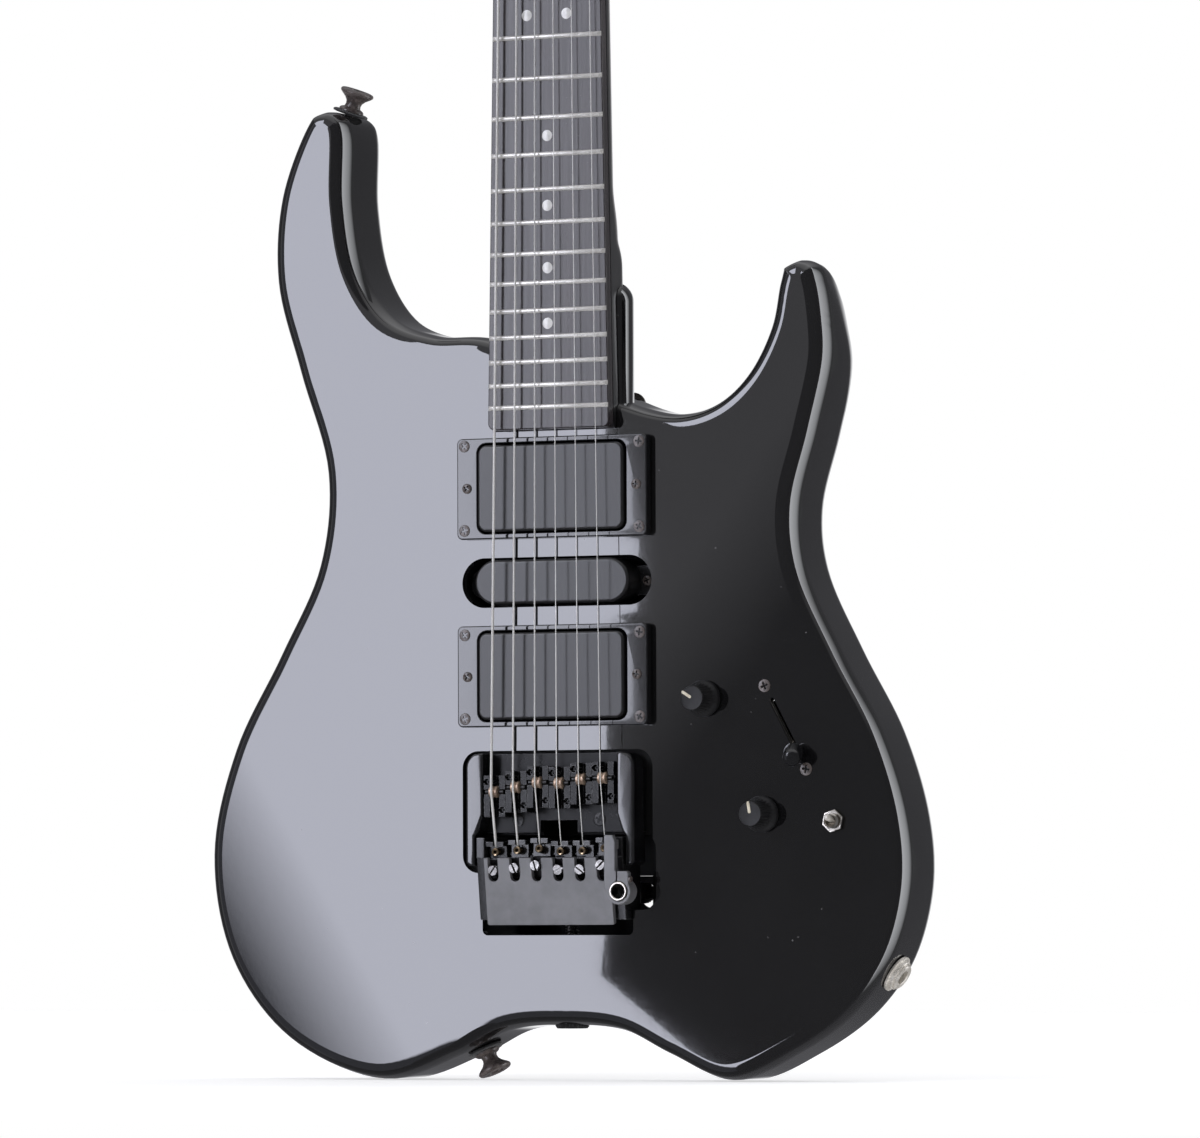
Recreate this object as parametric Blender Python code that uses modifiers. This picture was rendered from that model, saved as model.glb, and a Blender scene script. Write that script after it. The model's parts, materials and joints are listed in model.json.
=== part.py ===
"""Headless electric guitar with a roller-saddle vibrato bridge, upright, front face toward -Y.

The origin is on the flat back of the body, on the string centreline, SADDLE_DROP above the
saddle line. +Z runs up the neck and +X is the side of the thin strings.
"""

import math

import bmesh
import bpy
from mathutils import Matrix, Vector

# Strings and neck
SCALE_LENGTH = 0.6477
SADDLE_DROP = 0.0880
STRING_COUNT = 6
BRIDGE_SPREAD = 0.0525
NUT_SPREAD = 0.0365
STRING_RADII = (0.00058, 0.00046, 0.00033, 0.00021, 0.00016, 0.00013)
STRING_RISE_AT_SADDLE = 0.0112
BALL_RADIUS = 0.0018
FRET_COUNT = 24
FRET_HEIGHT = 0.0012
FRET_WIDTH = 0.0021
BOARD_RISE = 0.0078
BOARD_THICKNESS = 0.0050
BOARD_END_Z = 0.0643
NUT_HALF_WIDTH = 0.0213
BOARD_END_HALF_WIDTH = 0.0293
BOARD_PAST_NUT = 0.0022
NECK_DEPTH_AT_NUT = 0.0150
NECK_DEPTH_AT_HEEL = 0.0163
HEAD_LENGTH = 0.0270
HEAD_HEIGHT = 0.0100
HEAD_SLOT_WIDTH = 0.0018
HEAD_SLOT_FLOOR = 0.0035
BALL_POCKET_LENGTH = 0.0063

# Body
BODY_THICKNESS = 0.0420
EDGE_RADIUS = 0.0090
POCKET_DEPTH = 0.0135
TONGUE_HALF_WIDTH = 0.0318
TONGUE_TOP_Z = 0.1290
TONGUE_THICKNESS = 0.0190
TONGUE_EDGE_RADIUS = 0.0080
COVER_THICKNESS = 0.0020
CAVITY_CEILING = 0.0070
BACK_FLOOR = 0.0040
KNOB_WINDOW_TOP_Z = -0.1305
KNOB_WINDOW_END_Z = -0.1485

# Pickups
RING_WIDTH = 0.0920
RING_LENGTH = 0.0443
RING_HEIGHT = 0.0048
COVER_WIDTH = 0.0705
COVER_LENGTH = 0.0380
PICKUP_RISE = 0.0063
PICKUP_HEIGHT = 0.0190
PICKUP_CLEARANCE = 0.0007
NECK_PICKUP_Z = 0.0390
MIDDLE_PICKUP_Z = -0.0021
BRIDGE_PICKUP_Z = -0.0432
PILL_WIDTH = 0.0745
PILL_LENGTH = 0.0193
PILL_ROUT_WIDTH = 0.0917
PILL_ROUT_LENGTH = 0.0218
PILL_RISE = 0.0052

# Vibrato bridge. Heights are above the body's front face, depths below it.
FRAME_TOP_Z = -0.0770
FRAME_END_Z = -0.1115
FRAME_FLOOR_DEPTH = 0.0017
FRAME_FLOOR_THICKNESS = 0.0030
FLANGE_HEIGHT = 0.0080
ARM_WIDTH = 0.0042
ARM_CLEARANCE = 0.0010
ARM_END_Z = -0.1260
ROUT_CLEARANCE = 0.0054
ROUT_TOP_Z = -0.0757
TAIL_CLEARANCE = 0.0011
ROUT_LOW_END_Z = -0.1563
SADDLE_LENGTH = 0.0183
SADDLE_NOSE = 0.0072
SADDLE_HEIGHT = 0.0086
SADDLE_SETBACKS = (0.0057, 0.0038, 0.0018, 0.0022, 0.0006, 0.0002)
SADDLE_CHANNEL = 0.0046
SADDLE_SIDE_GAP = 0.0004
ROLLER_RADIUS = 0.0026
ROLLER_WIDTH = 0.0040
AXLE_RADIUS = 0.0009
PIVOT_Z = -0.1210
PIVOT_HEIGHT = 0.0010
SHAFT_RADIUS = 0.0019
JAW_WIDTH = 0.0085
JAW_TILTS_DEG = (6.0, 0.0, -6.0, 5.0, 4.0, -6.0)
JAW_SCREW_RADIUS = 0.0023
TUNER_Z = -0.1380
TUNER_SHAFT_RADIUS = 0.0015
TUNER_KNOB_RADIUS = 0.0046
TUNER_KNOB_LENGTH = 0.0110
TUNER_KNOB_DEPTH = 0.0240
CHEEK_WIDTH = 0.0042
CHEEK_GAP = 0.0007
CHEEK_HEIGHT = 0.0085
TAIL_END_Z = -0.1495
FLOOR_BAR_DEPTH = 0.0055
FLOOR_BAR_THICKNESS = 0.0045
PLATE_TOP_Z = -0.1227
PLATE_LENGTH = 0.0294
PLATE_HEIGHT = 0.0109
PLATE_TILT_DEG = 7.6
PLATE_THICKNESS = 0.0026
PLATE_CLEARANCE = 0.0007
PLATE_SLOT_END_Z = -0.1330
PLATE_SLOT_HALF_WIDTH = 0.0027
SOCKET_PAST_CHEEK = 0.0013
SOCKET_Z = -0.1374
SOCKET_RADIUS = 0.0042
SOCKET_BORE_RADIUS = 0.0031
CLAMP_HEIGHT = 0.0155
CLAMP_THICKNESS = 0.0030
CLAMP_DEPTH = 0.0073
CLAMP_BOSS_RADIUS = 0.0057
SPRING_DEPTH = 0.0145
SPRING_RADIUS = 0.0032
SPRING_START_Z = -0.1305
SPRING_END_Z = -0.1780
SPRING_BORE_RADIUS = 0.0078
TENSION_KNOB_RADIUS = 0.0074

# Controls
VOLUME_AT = (0.0710, -0.0543)
TONE_AT = (0.0983, -0.1045)
KNOB_SKIRT_RADIUS = 0.0079
KNOB_TOP_RADIUS = 0.0054
KNOB_HEIGHT = 0.0135
POT_SHAFT_RADIUS = 0.0030
POT_BUSHING_RADIUS = 0.0036
POT_RADIUS = 0.0080
POT_HEIGHT = 0.0095
SWITCH_AT = (0.1092, -0.0673)
SWITCH_LEAN_DEG = 28.3
SWITCH_SLOT_LENGTH = 0.0290
SWITCH_SLOT_WIDTH = 0.0024
SWITCH_PIVOT_DEPTH = 0.0160
SWITCH_THROW_DEG = 31.0
SWITCH_TIP_RADIUS = 0.0042
SWITCH_TIP_LENGTH = 0.0090
TOGGLE_AT = (0.1320, -0.1077)
TOGGLE_THROW_DEG = 12.0
TOGGLE_BUSHING_RADIUS = 0.0030
JACK_BORE_RADIUS = 0.0033
JACK_BARREL_RADIUS = 0.0057
JACK_WASHER_RADIUS = 0.0084
JACK_AT = (0.1528, -0.1700)
UPPER_BUTTON_AT = (-0.1117, 0.2092)
LOWER_BUTTON_AT = (-0.0450, -0.2045)
STRAP_BUTTON_RADIUS = 0.0076
STRAP_BUTTON_HEIGHT = 0.0098
FELT_THICKNESS = 0.0012

# Clearances and mesh detail
GAP = 0.0003
RUNNING_GAP = 0.0003
WELD = 0.000002
ROUND_STEPS = 16

FRONT = -BODY_THICKNESS
SADDLE_Z = -SADDLE_DROP
NUT_Z = SADDLE_Z + SCALE_LENGTH
STRING_PITCH = BRIDGE_SPREAD / (STRING_COUNT - 1)
SADDLE_WIDTH = STRING_PITCH - SADDLE_SIDE_GAP
FLANGE_INNER = (BRIDGE_SPREAD + SADDLE_WIDTH) / 2 + ARM_CLEARANCE
CHEEK_INNER = (BRIDGE_SPREAD + JAW_WIDTH) / 2 + CHEEK_GAP
CHEEK_OUTER = CHEEK_INNER + CHEEK_WIDTH
PLATE_HALF_WIDTH = CHEEK_INNER - PLATE_CLEARANCE
SOCKET_X = CHEEK_OUTER + SOCKET_PAST_CHEEK
ARM_INNER = CHEEK_OUTER + ARM_CLEARANCE
FRAME_HALF_WIDTH = ARM_INNER + ARM_WIDTH
ROUT_HALF_WIDTH = FRAME_HALF_WIDTH + ROUT_CLEARANCE
ROUT_LOW_HALF_WIDTH = CHEEK_OUTER + TAIL_CLEARANCE

# Body edge at its widest, from the middle of the tail arch round by the thin strings' side
OUTLINE = (
    (0.0000, -0.1955), (0.0280, -0.1978), (0.0520, -0.2087), (0.0800, -0.2192),
    (0.1100, -0.2080), (0.1370, -0.1900), (0.1548, -0.1664), (0.1634, -0.1360),
    (0.1619, -0.1060), (0.1503, -0.0690), (0.1308, -0.0330), (0.1145, 0.0020),
    (0.1120, 0.0280), (0.1203, 0.0600), (0.1277, 0.0920), (0.1271, 0.1100),
    (0.1247, 0.1250), (0.1219, 0.1319), (0.1150, 0.1347), (0.1081, 0.1319),
    (0.1053, 0.1250), (0.1011, 0.1060), (0.0905, 0.0867), (0.0770, 0.0750),
    (0.0600, 0.0700), (0.0400, 0.0728), (0.0000, 0.0900), (-0.0360, 0.1060),
    (-0.0620, 0.1080), (-0.0840, 0.1165), (-0.0985, 0.1370), (-0.1047, 0.1680),
    (-0.1049, 0.1995), (-0.1073, 0.2061), (-0.1134, 0.2096), (-0.1204, 0.2084),
    (-0.1247, 0.2035), (-0.1376, 0.1720), (-0.1398, 0.1340), (-0.1285, 0.0930),
    (-0.1150, 0.0480), (-0.1190, 0.0080), (-0.1384, -0.0310), (-0.1614, -0.0730),
    (-0.1728, -0.1200), (-0.1633, -0.1670), (-0.1340, -0.2025), (-0.0890, -0.2195),
    (-0.0520, -0.2087), (-0.0280, -0.1978),
)
OUTLINE_STEPS = 4
CAVITY_OUTLINE = (
    (0.0600, -0.0340), (0.1120, -0.0340), (0.1460, -0.0980), (0.1460, -0.1350),
    (0.1320, -0.1590), (0.0880, -0.1590), (0.0600, -0.1220),
)
CAVITY_CORNER = 0.0080
COVER_LIP = 0.0050


def clear_scene():
    for item in list(bpy.data.objects):
        bpy.data.objects.remove(item, do_unlink=True)


def make_collection(name):
    collection = bpy.data.collections.new(name)
    bpy.context.scene.collection.children.link(collection)
    return collection


def make_material(name, color, roughness, metallic=0.0):
    material = bpy.data.materials.new(name)
    material.use_nodes = True
    shader = material.node_tree.nodes["Principled BSDF"]
    shader.inputs["Base Color"].default_value = (*color, 1.0)
    shader.inputs["Roughness"].default_value = roughness
    shader.inputs["Metallic"].default_value = metallic
    return material


def add_object(name, mesh, collection, material=None):
    item = bpy.data.objects.new(name, mesh)
    collection.objects.link(item)
    if material:
        mesh.materials.append(material)
    return item


def hide_helper(item):
    item.hide_render = True
    item.display_type = "WIRE"


def move_origin(item, origin):
    """Puts the object's origin at a point and leaves its surface where it is."""
    item.data.transform(Matrix.Translation(-Vector(origin)))
    item.location = origin


def rounded(points, radius, steps=3):
    """The polygon with each corner turned into an arc."""
    corners = [Vector(point) for point in points]
    result = []
    for index, corner in enumerate(corners):
        back = (corners[index - 1] - corner).normalized()
        ahead = (corners[(index + 1) % len(corners)] - corner).normalized()
        half = back.angle(ahead) / 2
        reach = radius / math.tan(half)
        center = corner + (back + ahead).normalized() * (radius / math.sin(half))
        first = corner + back * reach - center
        last = corner + ahead * reach - center
        for step in range(steps + 1):
            arm = first.lerp(last, step / steps).normalized() * radius
            result.append(tuple(center + arm))
    return result


def rectangle(left, right, low, high):
    return [(left, low), (right, low), (right, high), (left, high)]


def rounded_rectangle(center_x, center_z, width, length, radius, steps=3):
    sides = rectangle(
        center_x - width / 2, center_x + width / 2, center_z - length / 2, center_z + length / 2
    )
    return rounded(sides, radius, steps)


def smooth_closed(points, steps):
    """A closed Catmull-Rom curve through the points, spaced by the root of each chord."""
    result = []
    count = len(points)
    for index in range(count):
        knots = [Vector(points[(index + shift) % count]) for shift in (-1, 0, 1, 2)]
        times = [0.0]
        for first, second in zip(knots, knots[1:]):
            times.append(times[-1] + math.sqrt((second - first).length))
        for step in range(steps):
            time = times[1] + (times[2] - times[1]) * step / steps
            result.append(tuple(catmull_rom(knots, times, time)))
    return result


def catmull_rom(knots, times, time):
    level = knots
    for order in (1, 2, 3):
        nearer = []
        for index in range(len(level) - 1):
            if order == 1:
                start, end = times[index], times[index + 1]
            elif order == 2:
                start, end = times[index], times[index + 2]
            else:
                start, end = times[1], times[2]
            share = (time - start) / (end - start)
            nearer.append(level[index].lerp(level[index + 1], share))
        level = nearer
    return level[0]


def along_y(depth):
    """Curve plane to X and Z, its extrusion toward the front."""
    return Matrix.Translation((0, depth, 0)) @ Matrix.Rotation(math.pi / 2, 4, "X")


def along_x(offset):
    """Curve plane to Y and Z, its extrusion along X."""
    turn = Matrix(((0, 0, 1, 0), (1, 0, 0, 0), (0, 1, 0, 0), (0, 0, 0, 1)))
    return Matrix.Translation((offset, 0, 0)) @ turn


def mesh_of_curve(name, curve, matrix):
    """The curve's solid as one welded mesh in world space."""
    holder = bpy.data.objects.new(name, curve)
    bpy.context.scene.collection.objects.link(holder)
    bpy.context.view_layer.update()
    graph = bpy.context.evaluated_depsgraph_get()
    mesh = bpy.data.meshes.new_from_object(holder.evaluated_get(graph))
    bpy.data.objects.remove(holder, do_unlink=True)
    bpy.data.curves.remove(curve)
    shape = bmesh.new()
    shape.from_mesh(mesh)
    bmesh.ops.remove_doubles(shape, verts=shape.verts, dist=WELD)
    bmesh.ops.recalc_face_normals(shape, faces=shape.faces)
    shape.to_mesh(mesh)
    shape.free()
    mesh.transform(matrix)
    mesh.name = name
    return mesh


def plate(name, loops, matrix, thickness, edge=0.0, edge_steps=1, offset=0.0):
    """Flat outlines extruded to a plate centred on the matrix, with rounded edges if asked."""
    curve = bpy.data.curves.new(name, "CURVE")
    curve.dimensions = "2D"
    curve.fill_mode = "BOTH"
    curve.extrude = thickness / 2 - edge
    curve.bevel_depth = edge
    curve.bevel_resolution = edge_steps
    curve.offset = offset - edge
    for loop in loops:
        spline = curve.splines.new("POLY")
        spline.points.add(len(loop) - 1)
        for point, place in zip(spline.points, loop):
            point.co = (place[0], place[1], 0, 1)
        spline.use_cyclic_u = True
    return mesh_of_curve(name, curve, matrix)


def front_plate(name, loops, height, depth, edge=0.0, edge_steps=1, offset=0.0):
    """A plate in X and Z, from a height above the front face to a depth below it."""
    middle = FRONT + (depth - height) / 2
    return plate(name, loops, along_y(middle), depth + height, edge, edge_steps, offset)


def side_plate(name, loop, left, right):
    """A plate in Y and Z between two values of X."""
    return plate(name, [loop], along_x((left + right) / 2), right - left)


def box(name, low, high):
    shape = bmesh.new()
    bmesh.ops.create_cube(shape, size=1.0)
    size = Vector(high) - Vector(low)
    middle = (Vector(high) + Vector(low)) / 2
    bmesh.ops.transform(
        shape,
        matrix=Matrix.Translation(middle) @ Matrix.Diagonal((*size, 1.0)),
        verts=shape.verts,
    )
    mesh = bpy.data.meshes.new(name)
    shape.to_mesh(mesh)
    shape.free()
    return mesh


def rod(name, start, end, radius, steps=ROUND_STEPS):
    """A cylinder between two points."""
    shape = bmesh.new()
    axis = Vector(end) - Vector(start)
    turn = axis.to_track_quat("Z", "Y").to_matrix().to_4x4()
    bmesh.ops.create_cone(
        shape,
        cap_ends=True,
        segments=steps,
        radius1=radius,
        radius2=radius,
        depth=axis.length,
        matrix=Matrix.Translation((Vector(start) + Vector(end)) / 2) @ turn,
    )
    mesh = bpy.data.meshes.new(name)
    shape.to_mesh(mesh)
    shape.free()
    return mesh


def join_meshes(name, meshes):
    """Several loose solids in one mesh, for a cutter."""
    shape = bmesh.new()
    for mesh in meshes:
        shape.from_mesh(mesh)
        bpy.data.meshes.remove(mesh)
    mesh = bpy.data.meshes.new(name)
    shape.to_mesh(mesh)
    shape.free()
    return mesh


def turned(name, profile, closed, collection, material, steps=ROUND_STEPS):
    """A profile of radius and height turned about its own Z axis."""
    mesh = bpy.data.meshes.new(name)
    points = [(radius, 0.0, height) for radius, height in profile]
    edges = [(index, index + 1) for index in range(len(points) - 1)]
    if closed:
        edges.append((len(points) - 1, 0))
    mesh.from_pydata(points, edges, [])
    item = add_object(name, mesh, collection, material)
    screw = item.modifiers.new("Turn", "SCREW")
    screw.axis = "Z"
    screw.angle = math.tau
    screw.steps = steps
    screw.render_steps = steps
    screw.use_merge_vertices = True
    screw.merge_threshold = 0.00001
    screw.use_smooth_shade = True
    return item


def aim(item, place, direction):
    item.location = place
    item.rotation_mode = "QUATERNION"
    item.rotation_quaternion = Vector(direction).to_track_quat("Z", "Y")


def add_boolean(item, operation, mesh, helpers):
    helper = add_object(mesh.name, mesh, helpers)
    hide_helper(helper)
    modifier = item.modifiers.new(mesh.name, "BOOLEAN")
    modifier.operation = operation
    modifier.object = helper
    return helper


def cut(item, mesh, helpers):
    return add_boolean(item, "DIFFERENCE", mesh, helpers)


def unite(item, mesh, helpers):
    return add_boolean(item, "UNION", mesh, helpers)


def neck_half_width(height):
    """Half the board's width at a height along the neck."""
    share = (height - BOARD_END_Z) / (NUT_Z - BOARD_END_Z)
    return BOARD_END_HALF_WIDTH + (NUT_HALF_WIDTH - BOARD_END_HALF_WIDTH) * share


def string_x(index, height):
    """A string's distance from the centreline at a height."""
    share = (height - SADDLE_Z) / SCALE_LENGTH
    spread = BRIDGE_SPREAD + (NUT_SPREAD - BRIDGE_SPREAD) * share
    return spread * (index / (STRING_COUNT - 1) - 0.5)


def fret_z(number):
    return NUT_Z - SCALE_LENGTH * (1 - 2 ** (-number / 12))


def saddle_z(index):
    return SADDLE_Z - SADDLE_SETBACKS[index]


def string_names(word):
    return [f"{word}_{index + 1}" for index in range(STRING_COUNT)]


def edge_frame(place):
    """The nearest point of the body's edge to a place, and the way out of it, at mid thickness."""
    points = [Vector(point) for point in smooth_closed(OUTLINE, OUTLINE_STEPS)]
    nearest = min(range(len(points)), key=lambda index: (points[index] - Vector(place)).length)
    ahead = points[(nearest + 1) % len(points)] - points[nearest - 1]
    outward = Vector((ahead.y, -ahead.x)).normalized()
    middle = FRONT / 2
    at = points[nearest]
    return Vector((at.x, middle, at.y)), Vector((outward.x, 0.0, outward.y))


def make_body(parts, helpers, finish):
    outline = smooth_closed(OUTLINE, OUTLINE_STEPS)
    mesh = front_plate("body", [outline], 0.0, BODY_THICKNESS, EDGE_RADIUS, 2)
    body = add_object("body", mesh, parts, finish)
    tongue_low = BOARD_END_Z - EDGE_RADIUS
    tongue = rounded(
        rectangle(-TONGUE_HALF_WIDTH, TONGUE_HALF_WIDTH, tongue_low, TONGUE_TOP_Z),
        EDGE_RADIUS + GAP,
        4,
    )
    drop = GAP
    tongue_mesh = front_plate(
        "tongue", [tongue], -drop, TONGUE_THICKNESS + drop, TONGUE_EDGE_RADIUS, 2
    )
    unite(body, tongue_mesh, helpers)
    for mesh in body_cutters():
        cut(body, mesh, helpers)
    return body


def pocket_outline():
    low = BOARD_END_Z - GAP
    high = TONGUE_TOP_Z + EDGE_RADIUS
    return [
        (-neck_half_width(low) - GAP, low),
        (neck_half_width(low) + GAP, low),
        (neck_half_width(high) + GAP, high),
        (-neck_half_width(high) - GAP, high),
    ]


def body_cutters():
    """The routs, bores and recesses of the body."""
    over = EDGE_RADIUS
    yield front_plate("neck_pocket", [pocket_outline()], over, POCKET_DEPTH)
    rout_depth = PICKUP_HEIGHT - PICKUP_RISE + 4 * PICKUP_CLEARANCE
    width = COVER_WIDTH + 4 * PICKUP_CLEARANCE
    length = COVER_LENGTH + 4 * PICKUP_CLEARANCE
    for name, height in (("neck", NECK_PICKUP_Z), ("bridge", BRIDGE_PICKUP_Z)):
        loop = rounded_rectangle(0.0, height, width, length, 0.004)
        yield front_plate(f"{name}_pickup_rout", [loop], over, rout_depth)
    pill = rounded_rectangle(
        0.0, MIDDLE_PICKUP_Z, PILL_ROUT_WIDTH, PILL_ROUT_LENGTH, PILL_ROUT_LENGTH * 0.499, 6
    )
    yield front_plate("middle_pickup_rout", [pill], over, rout_depth)
    ledge_depth = FRAME_FLOOR_DEPTH + FRAME_FLOOR_THICKNESS + GAP
    ledge_low = ARM_END_Z - 0.0030
    ledge = rounded(rectangle(-ROUT_HALF_WIDTH, ROUT_HALF_WIDTH, ledge_low, ROUT_TOP_Z), 0.0075)
    yield front_plate("bridge_ledge", [ledge], over, ledge_depth)
    through = rounded(
        rectangle(
            -ROUT_LOW_HALF_WIDTH, ROUT_LOW_HALF_WIDTH, ROUT_LOW_END_Z, FRAME_END_Z - 0.0010
        ),
        0.0025,
    )
    yield front_plate("tail_opening", [through], over, BODY_THICKNESS - BACK_FLOOR)
    window = rounded(
        rectangle(
            -ROUT_LOW_HALF_WIDTH + GAP, ROUT_LOW_HALF_WIDTH - GAP,
            KNOB_WINDOW_END_Z, KNOB_WINDOW_TOP_Z,
        ),
        0.0045,
    )
    yield front_plate("knob_window", [window], BACK_FLOOR - BODY_THICKNESS + GAP, BODY_THICKNESS + over)
    bulge = rounded(
        rectangle(
            SOCKET_X - 0.0067, ROUT_HALF_WIDTH + 0.0015, SOCKET_Z - 0.0080, FRAME_END_Z - 0.0010
        ),
        0.0065,
    )
    yield front_plate("arm_clearance", [bulge], over, 0.0200)
    spring_y = FRONT + SPRING_DEPTH
    yield rod(
        "spring_bore",
        (0.0, spring_y, ROUT_LOW_END_Z + 0.0050),
        (0.0, spring_y, OUTLINE[0][1] - 0.0200),
        SPRING_BORE_RADIUS,
    )
    cavity = rounded(CAVITY_OUTLINE, CAVITY_CORNER)
    yield front_plate("control_cavity", [cavity], -CAVITY_CEILING, BODY_THICKNESS + over)
    yield front_plate(
        "cover_recess",
        [cavity],
        COVER_THICKNESS + GAP - BODY_THICKNESS,
        BODY_THICKNESS + over,
        offset=COVER_LIP,
    )
    for name, place in (("volume", VOLUME_AT), ("tone", TONE_AT)):
        yield face_hole(f"{name}_hole", place, POT_BUSHING_RADIUS + GAP)
    yield face_hole("toggle_hole", TOGGLE_AT, TOGGLE_BUSHING_RADIUS + GAP)
    slot = rounded_rectangle(
        0.0, 0.0, SWITCH_SLOT_WIDTH, SWITCH_SLOT_LENGTH, SWITCH_SLOT_WIDTH * 0.45, 2
    )
    slot_mesh = front_plate("switch_slot", [slot], over, CAVITY_CEILING + GAP * 3)
    slot_mesh.transform(switch_matrix())
    yield slot_mesh
    at, outward = edge_frame(JACK_AT)
    yield rod("jack_bore", at + outward * 0.01, at - outward * 0.032, JACK_BARREL_RADIUS + GAP)
    for name, place in strap_button_places():
        at, outward = edge_frame(place)
        yield rod(f"{name}_pilot", at + outward * 0.01, at - outward * 0.020, 0.0020 + GAP, 10)


def switch_matrix():
    turn = Matrix.Rotation(math.radians(SWITCH_LEAN_DEG), 4, "Y")
    return Matrix.Translation((SWITCH_AT[0], 0.0, SWITCH_AT[1])) @ turn.inverted()


def face_hole(name, place, radius):
    start = (place[0], FRONT - EDGE_RADIUS, place[1])
    end = (place[0], FRONT + CAVITY_CEILING + EDGE_RADIUS / 2, place[1])
    return rod(name, start, end, radius)


def strap_button_places():
    return (("upper", UPPER_BUTTON_AT), ("lower", LOWER_BUTTON_AT))


def make_neck(parts, finish):
    """A loft from the squared heel to the round back of the neck."""
    top = FRONT - BOARD_RISE + BOARD_THICKNESS + GAP
    heel_depth = POCKET_DEPTH - (top - FRONT) - GAP
    heel_end = TONGUE_TOP_Z + 0.0060
    blend_end = heel_end + 0.0350
    head_top = NUT_Z + BOARD_PAST_NUT + HEAD_LENGTH
    sections = (
        (BOARD_END_Z, heel_depth, 9.0),
        (heel_end, heel_depth, 9.0),
        (heel_end + 0.0120, (heel_depth + NECK_DEPTH_AT_HEEL) / 2, 4.0),
        (blend_end, NECK_DEPTH_AT_HEEL, 2.4),
        (NUT_Z - 0.0300, NECK_DEPTH_AT_NUT, 2.4),
        (head_top, NECK_DEPTH_AT_NUT, 2.6),
    )
    shape = bmesh.new()
    rings = []
    for height, depth, power in sections:
        half = neck_half_width(min(height, NUT_Z))
        ring = []
        for step in range(13):
            angle = math.pi * step / 12
            x = -half * math.copysign(abs(math.cos(angle)) ** (2 / power), math.cos(angle))
            y = top + depth * abs(math.sin(angle)) ** (2 / power)
            ring.append(shape.verts.new((x, y, height)))
        rings.append(ring)
    for lower, upper in zip(rings, rings[1:]):
        for index in range(len(lower)):
            after = (index + 1) % len(lower)
            shape.faces.new((lower[index], lower[after], upper[after], upper[index]))
    shape.faces.new(rings[0])
    shape.faces.new(rings[-1])
    bmesh.ops.recalc_face_normals(shape, faces=shape.faces)
    mesh = bpy.data.meshes.new("neck")
    shape.to_mesh(mesh)
    shape.free()
    mesh.shade_smooth()
    mesh.set_sharp_from_angle(angle=math.radians(35))
    return add_object("neck", mesh, parts, finish)


def make_fingerboard(parts, finish):
    """The board and its frets in one comb-shaped strip, trimmed to the neck's taper."""
    surface = FRONT - BOARD_RISE
    crown = surface - FRET_HEIGHT
    bottom = surface + BOARD_THICKNESS
    top_end = NUT_Z + BOARD_PAST_NUT
    profile = [(bottom, BOARD_END_Z), (surface, BOARD_END_Z)]
    for number in range(FRET_COUNT, -1, -1):
        low = fret_z(number) - FRET_WIDTH / 2
        high = fret_z(number) + FRET_WIDTH / 2
        profile += [(surface, low), (crown, low), (crown, high), (surface, high)]
    profile += [(surface, top_end), (bottom, top_end)]
    reach = BOARD_END_HALF_WIDTH + EDGE_RADIUS
    mesh = side_plate("fingerboard", profile, -reach, reach)
    shape = bmesh.new()
    shape.from_mesh(mesh)
    run = Vector((neck_half_width(NUT_Z) - neck_half_width(BOARD_END_Z), 0, NUT_Z - BOARD_END_Z))
    for side in (-1, 1):
        normal = Vector((run.z, 0, -run.x)).normalized()
        cut_result = bmesh.ops.bisect_plane(
            shape,
            geom=shape.verts[:] + shape.edges[:] + shape.faces[:],
            plane_co=(side * neck_half_width(BOARD_END_Z), 0, BOARD_END_Z),
            plane_no=(side * normal.x, 0, normal.z),
            clear_outer=True,
        )
        rim = [item for item in cut_result["geom_cut"] if isinstance(item, bmesh.types.BMEdge)]
        bmesh.ops.edgenet_fill(shape, edges=rim)
    bmesh.ops.recalc_face_normals(shape, faces=shape.faces)
    shape.to_mesh(mesh)
    shape.free()
    return add_object("fingerboard", mesh, parts, finish)


def make_headpiece(parts, helpers, finish):
    """The block that holds the upper ball ends behind the zero fret."""
    low = NUT_Z + BOARD_PAST_NUT + GAP
    high = low + HEAD_LENGTH
    base = FRONT - BOARD_RISE + BOARD_THICKNESS
    crown = base - HEAD_HEIGHT
    half = neck_half_width(NUT_Z)
    loop = rounded(rectangle(-half, half, low, high), 0.0030)
    middle = (base + crown) / 2
    mesh = plate("headpiece", [loop], along_y(middle), base - crown, 0.0010, 1)
    block = add_object("headpiece", mesh, parts, finish)
    floor = base - HEAD_SLOT_FLOOR
    half_slot = HEAD_SLOT_WIDTH / 2
    half_ball = BALL_RADIUS + 2 * GAP
    step = ball_z() - 2 * GAP
    slots = []
    pockets = []
    for index in range(STRING_COUNT):
        x = string_x(index, low)
        slots.append(
            box("slot", (x - half_slot, crown - GAP, low - GAP), (x + half_slot, floor, step + GAP))
        )
        pockets.append(
            box(
                "pocket",
                (x - half_ball, crown - GAP, step),
                (x + half_ball, floor + GAP, step + BALL_POCKET_LENGTH),
            )
        )
    cut(block, join_meshes("headpiece_pockets", pockets), helpers)
    cut(block, join_meshes("headpiece_slots", slots), helpers)
    return block


def ball_z():
    """Where the upper ball ends begin."""
    return NUT_Z + BOARD_PAST_NUT + HEAD_LENGTH * 0.55


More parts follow.
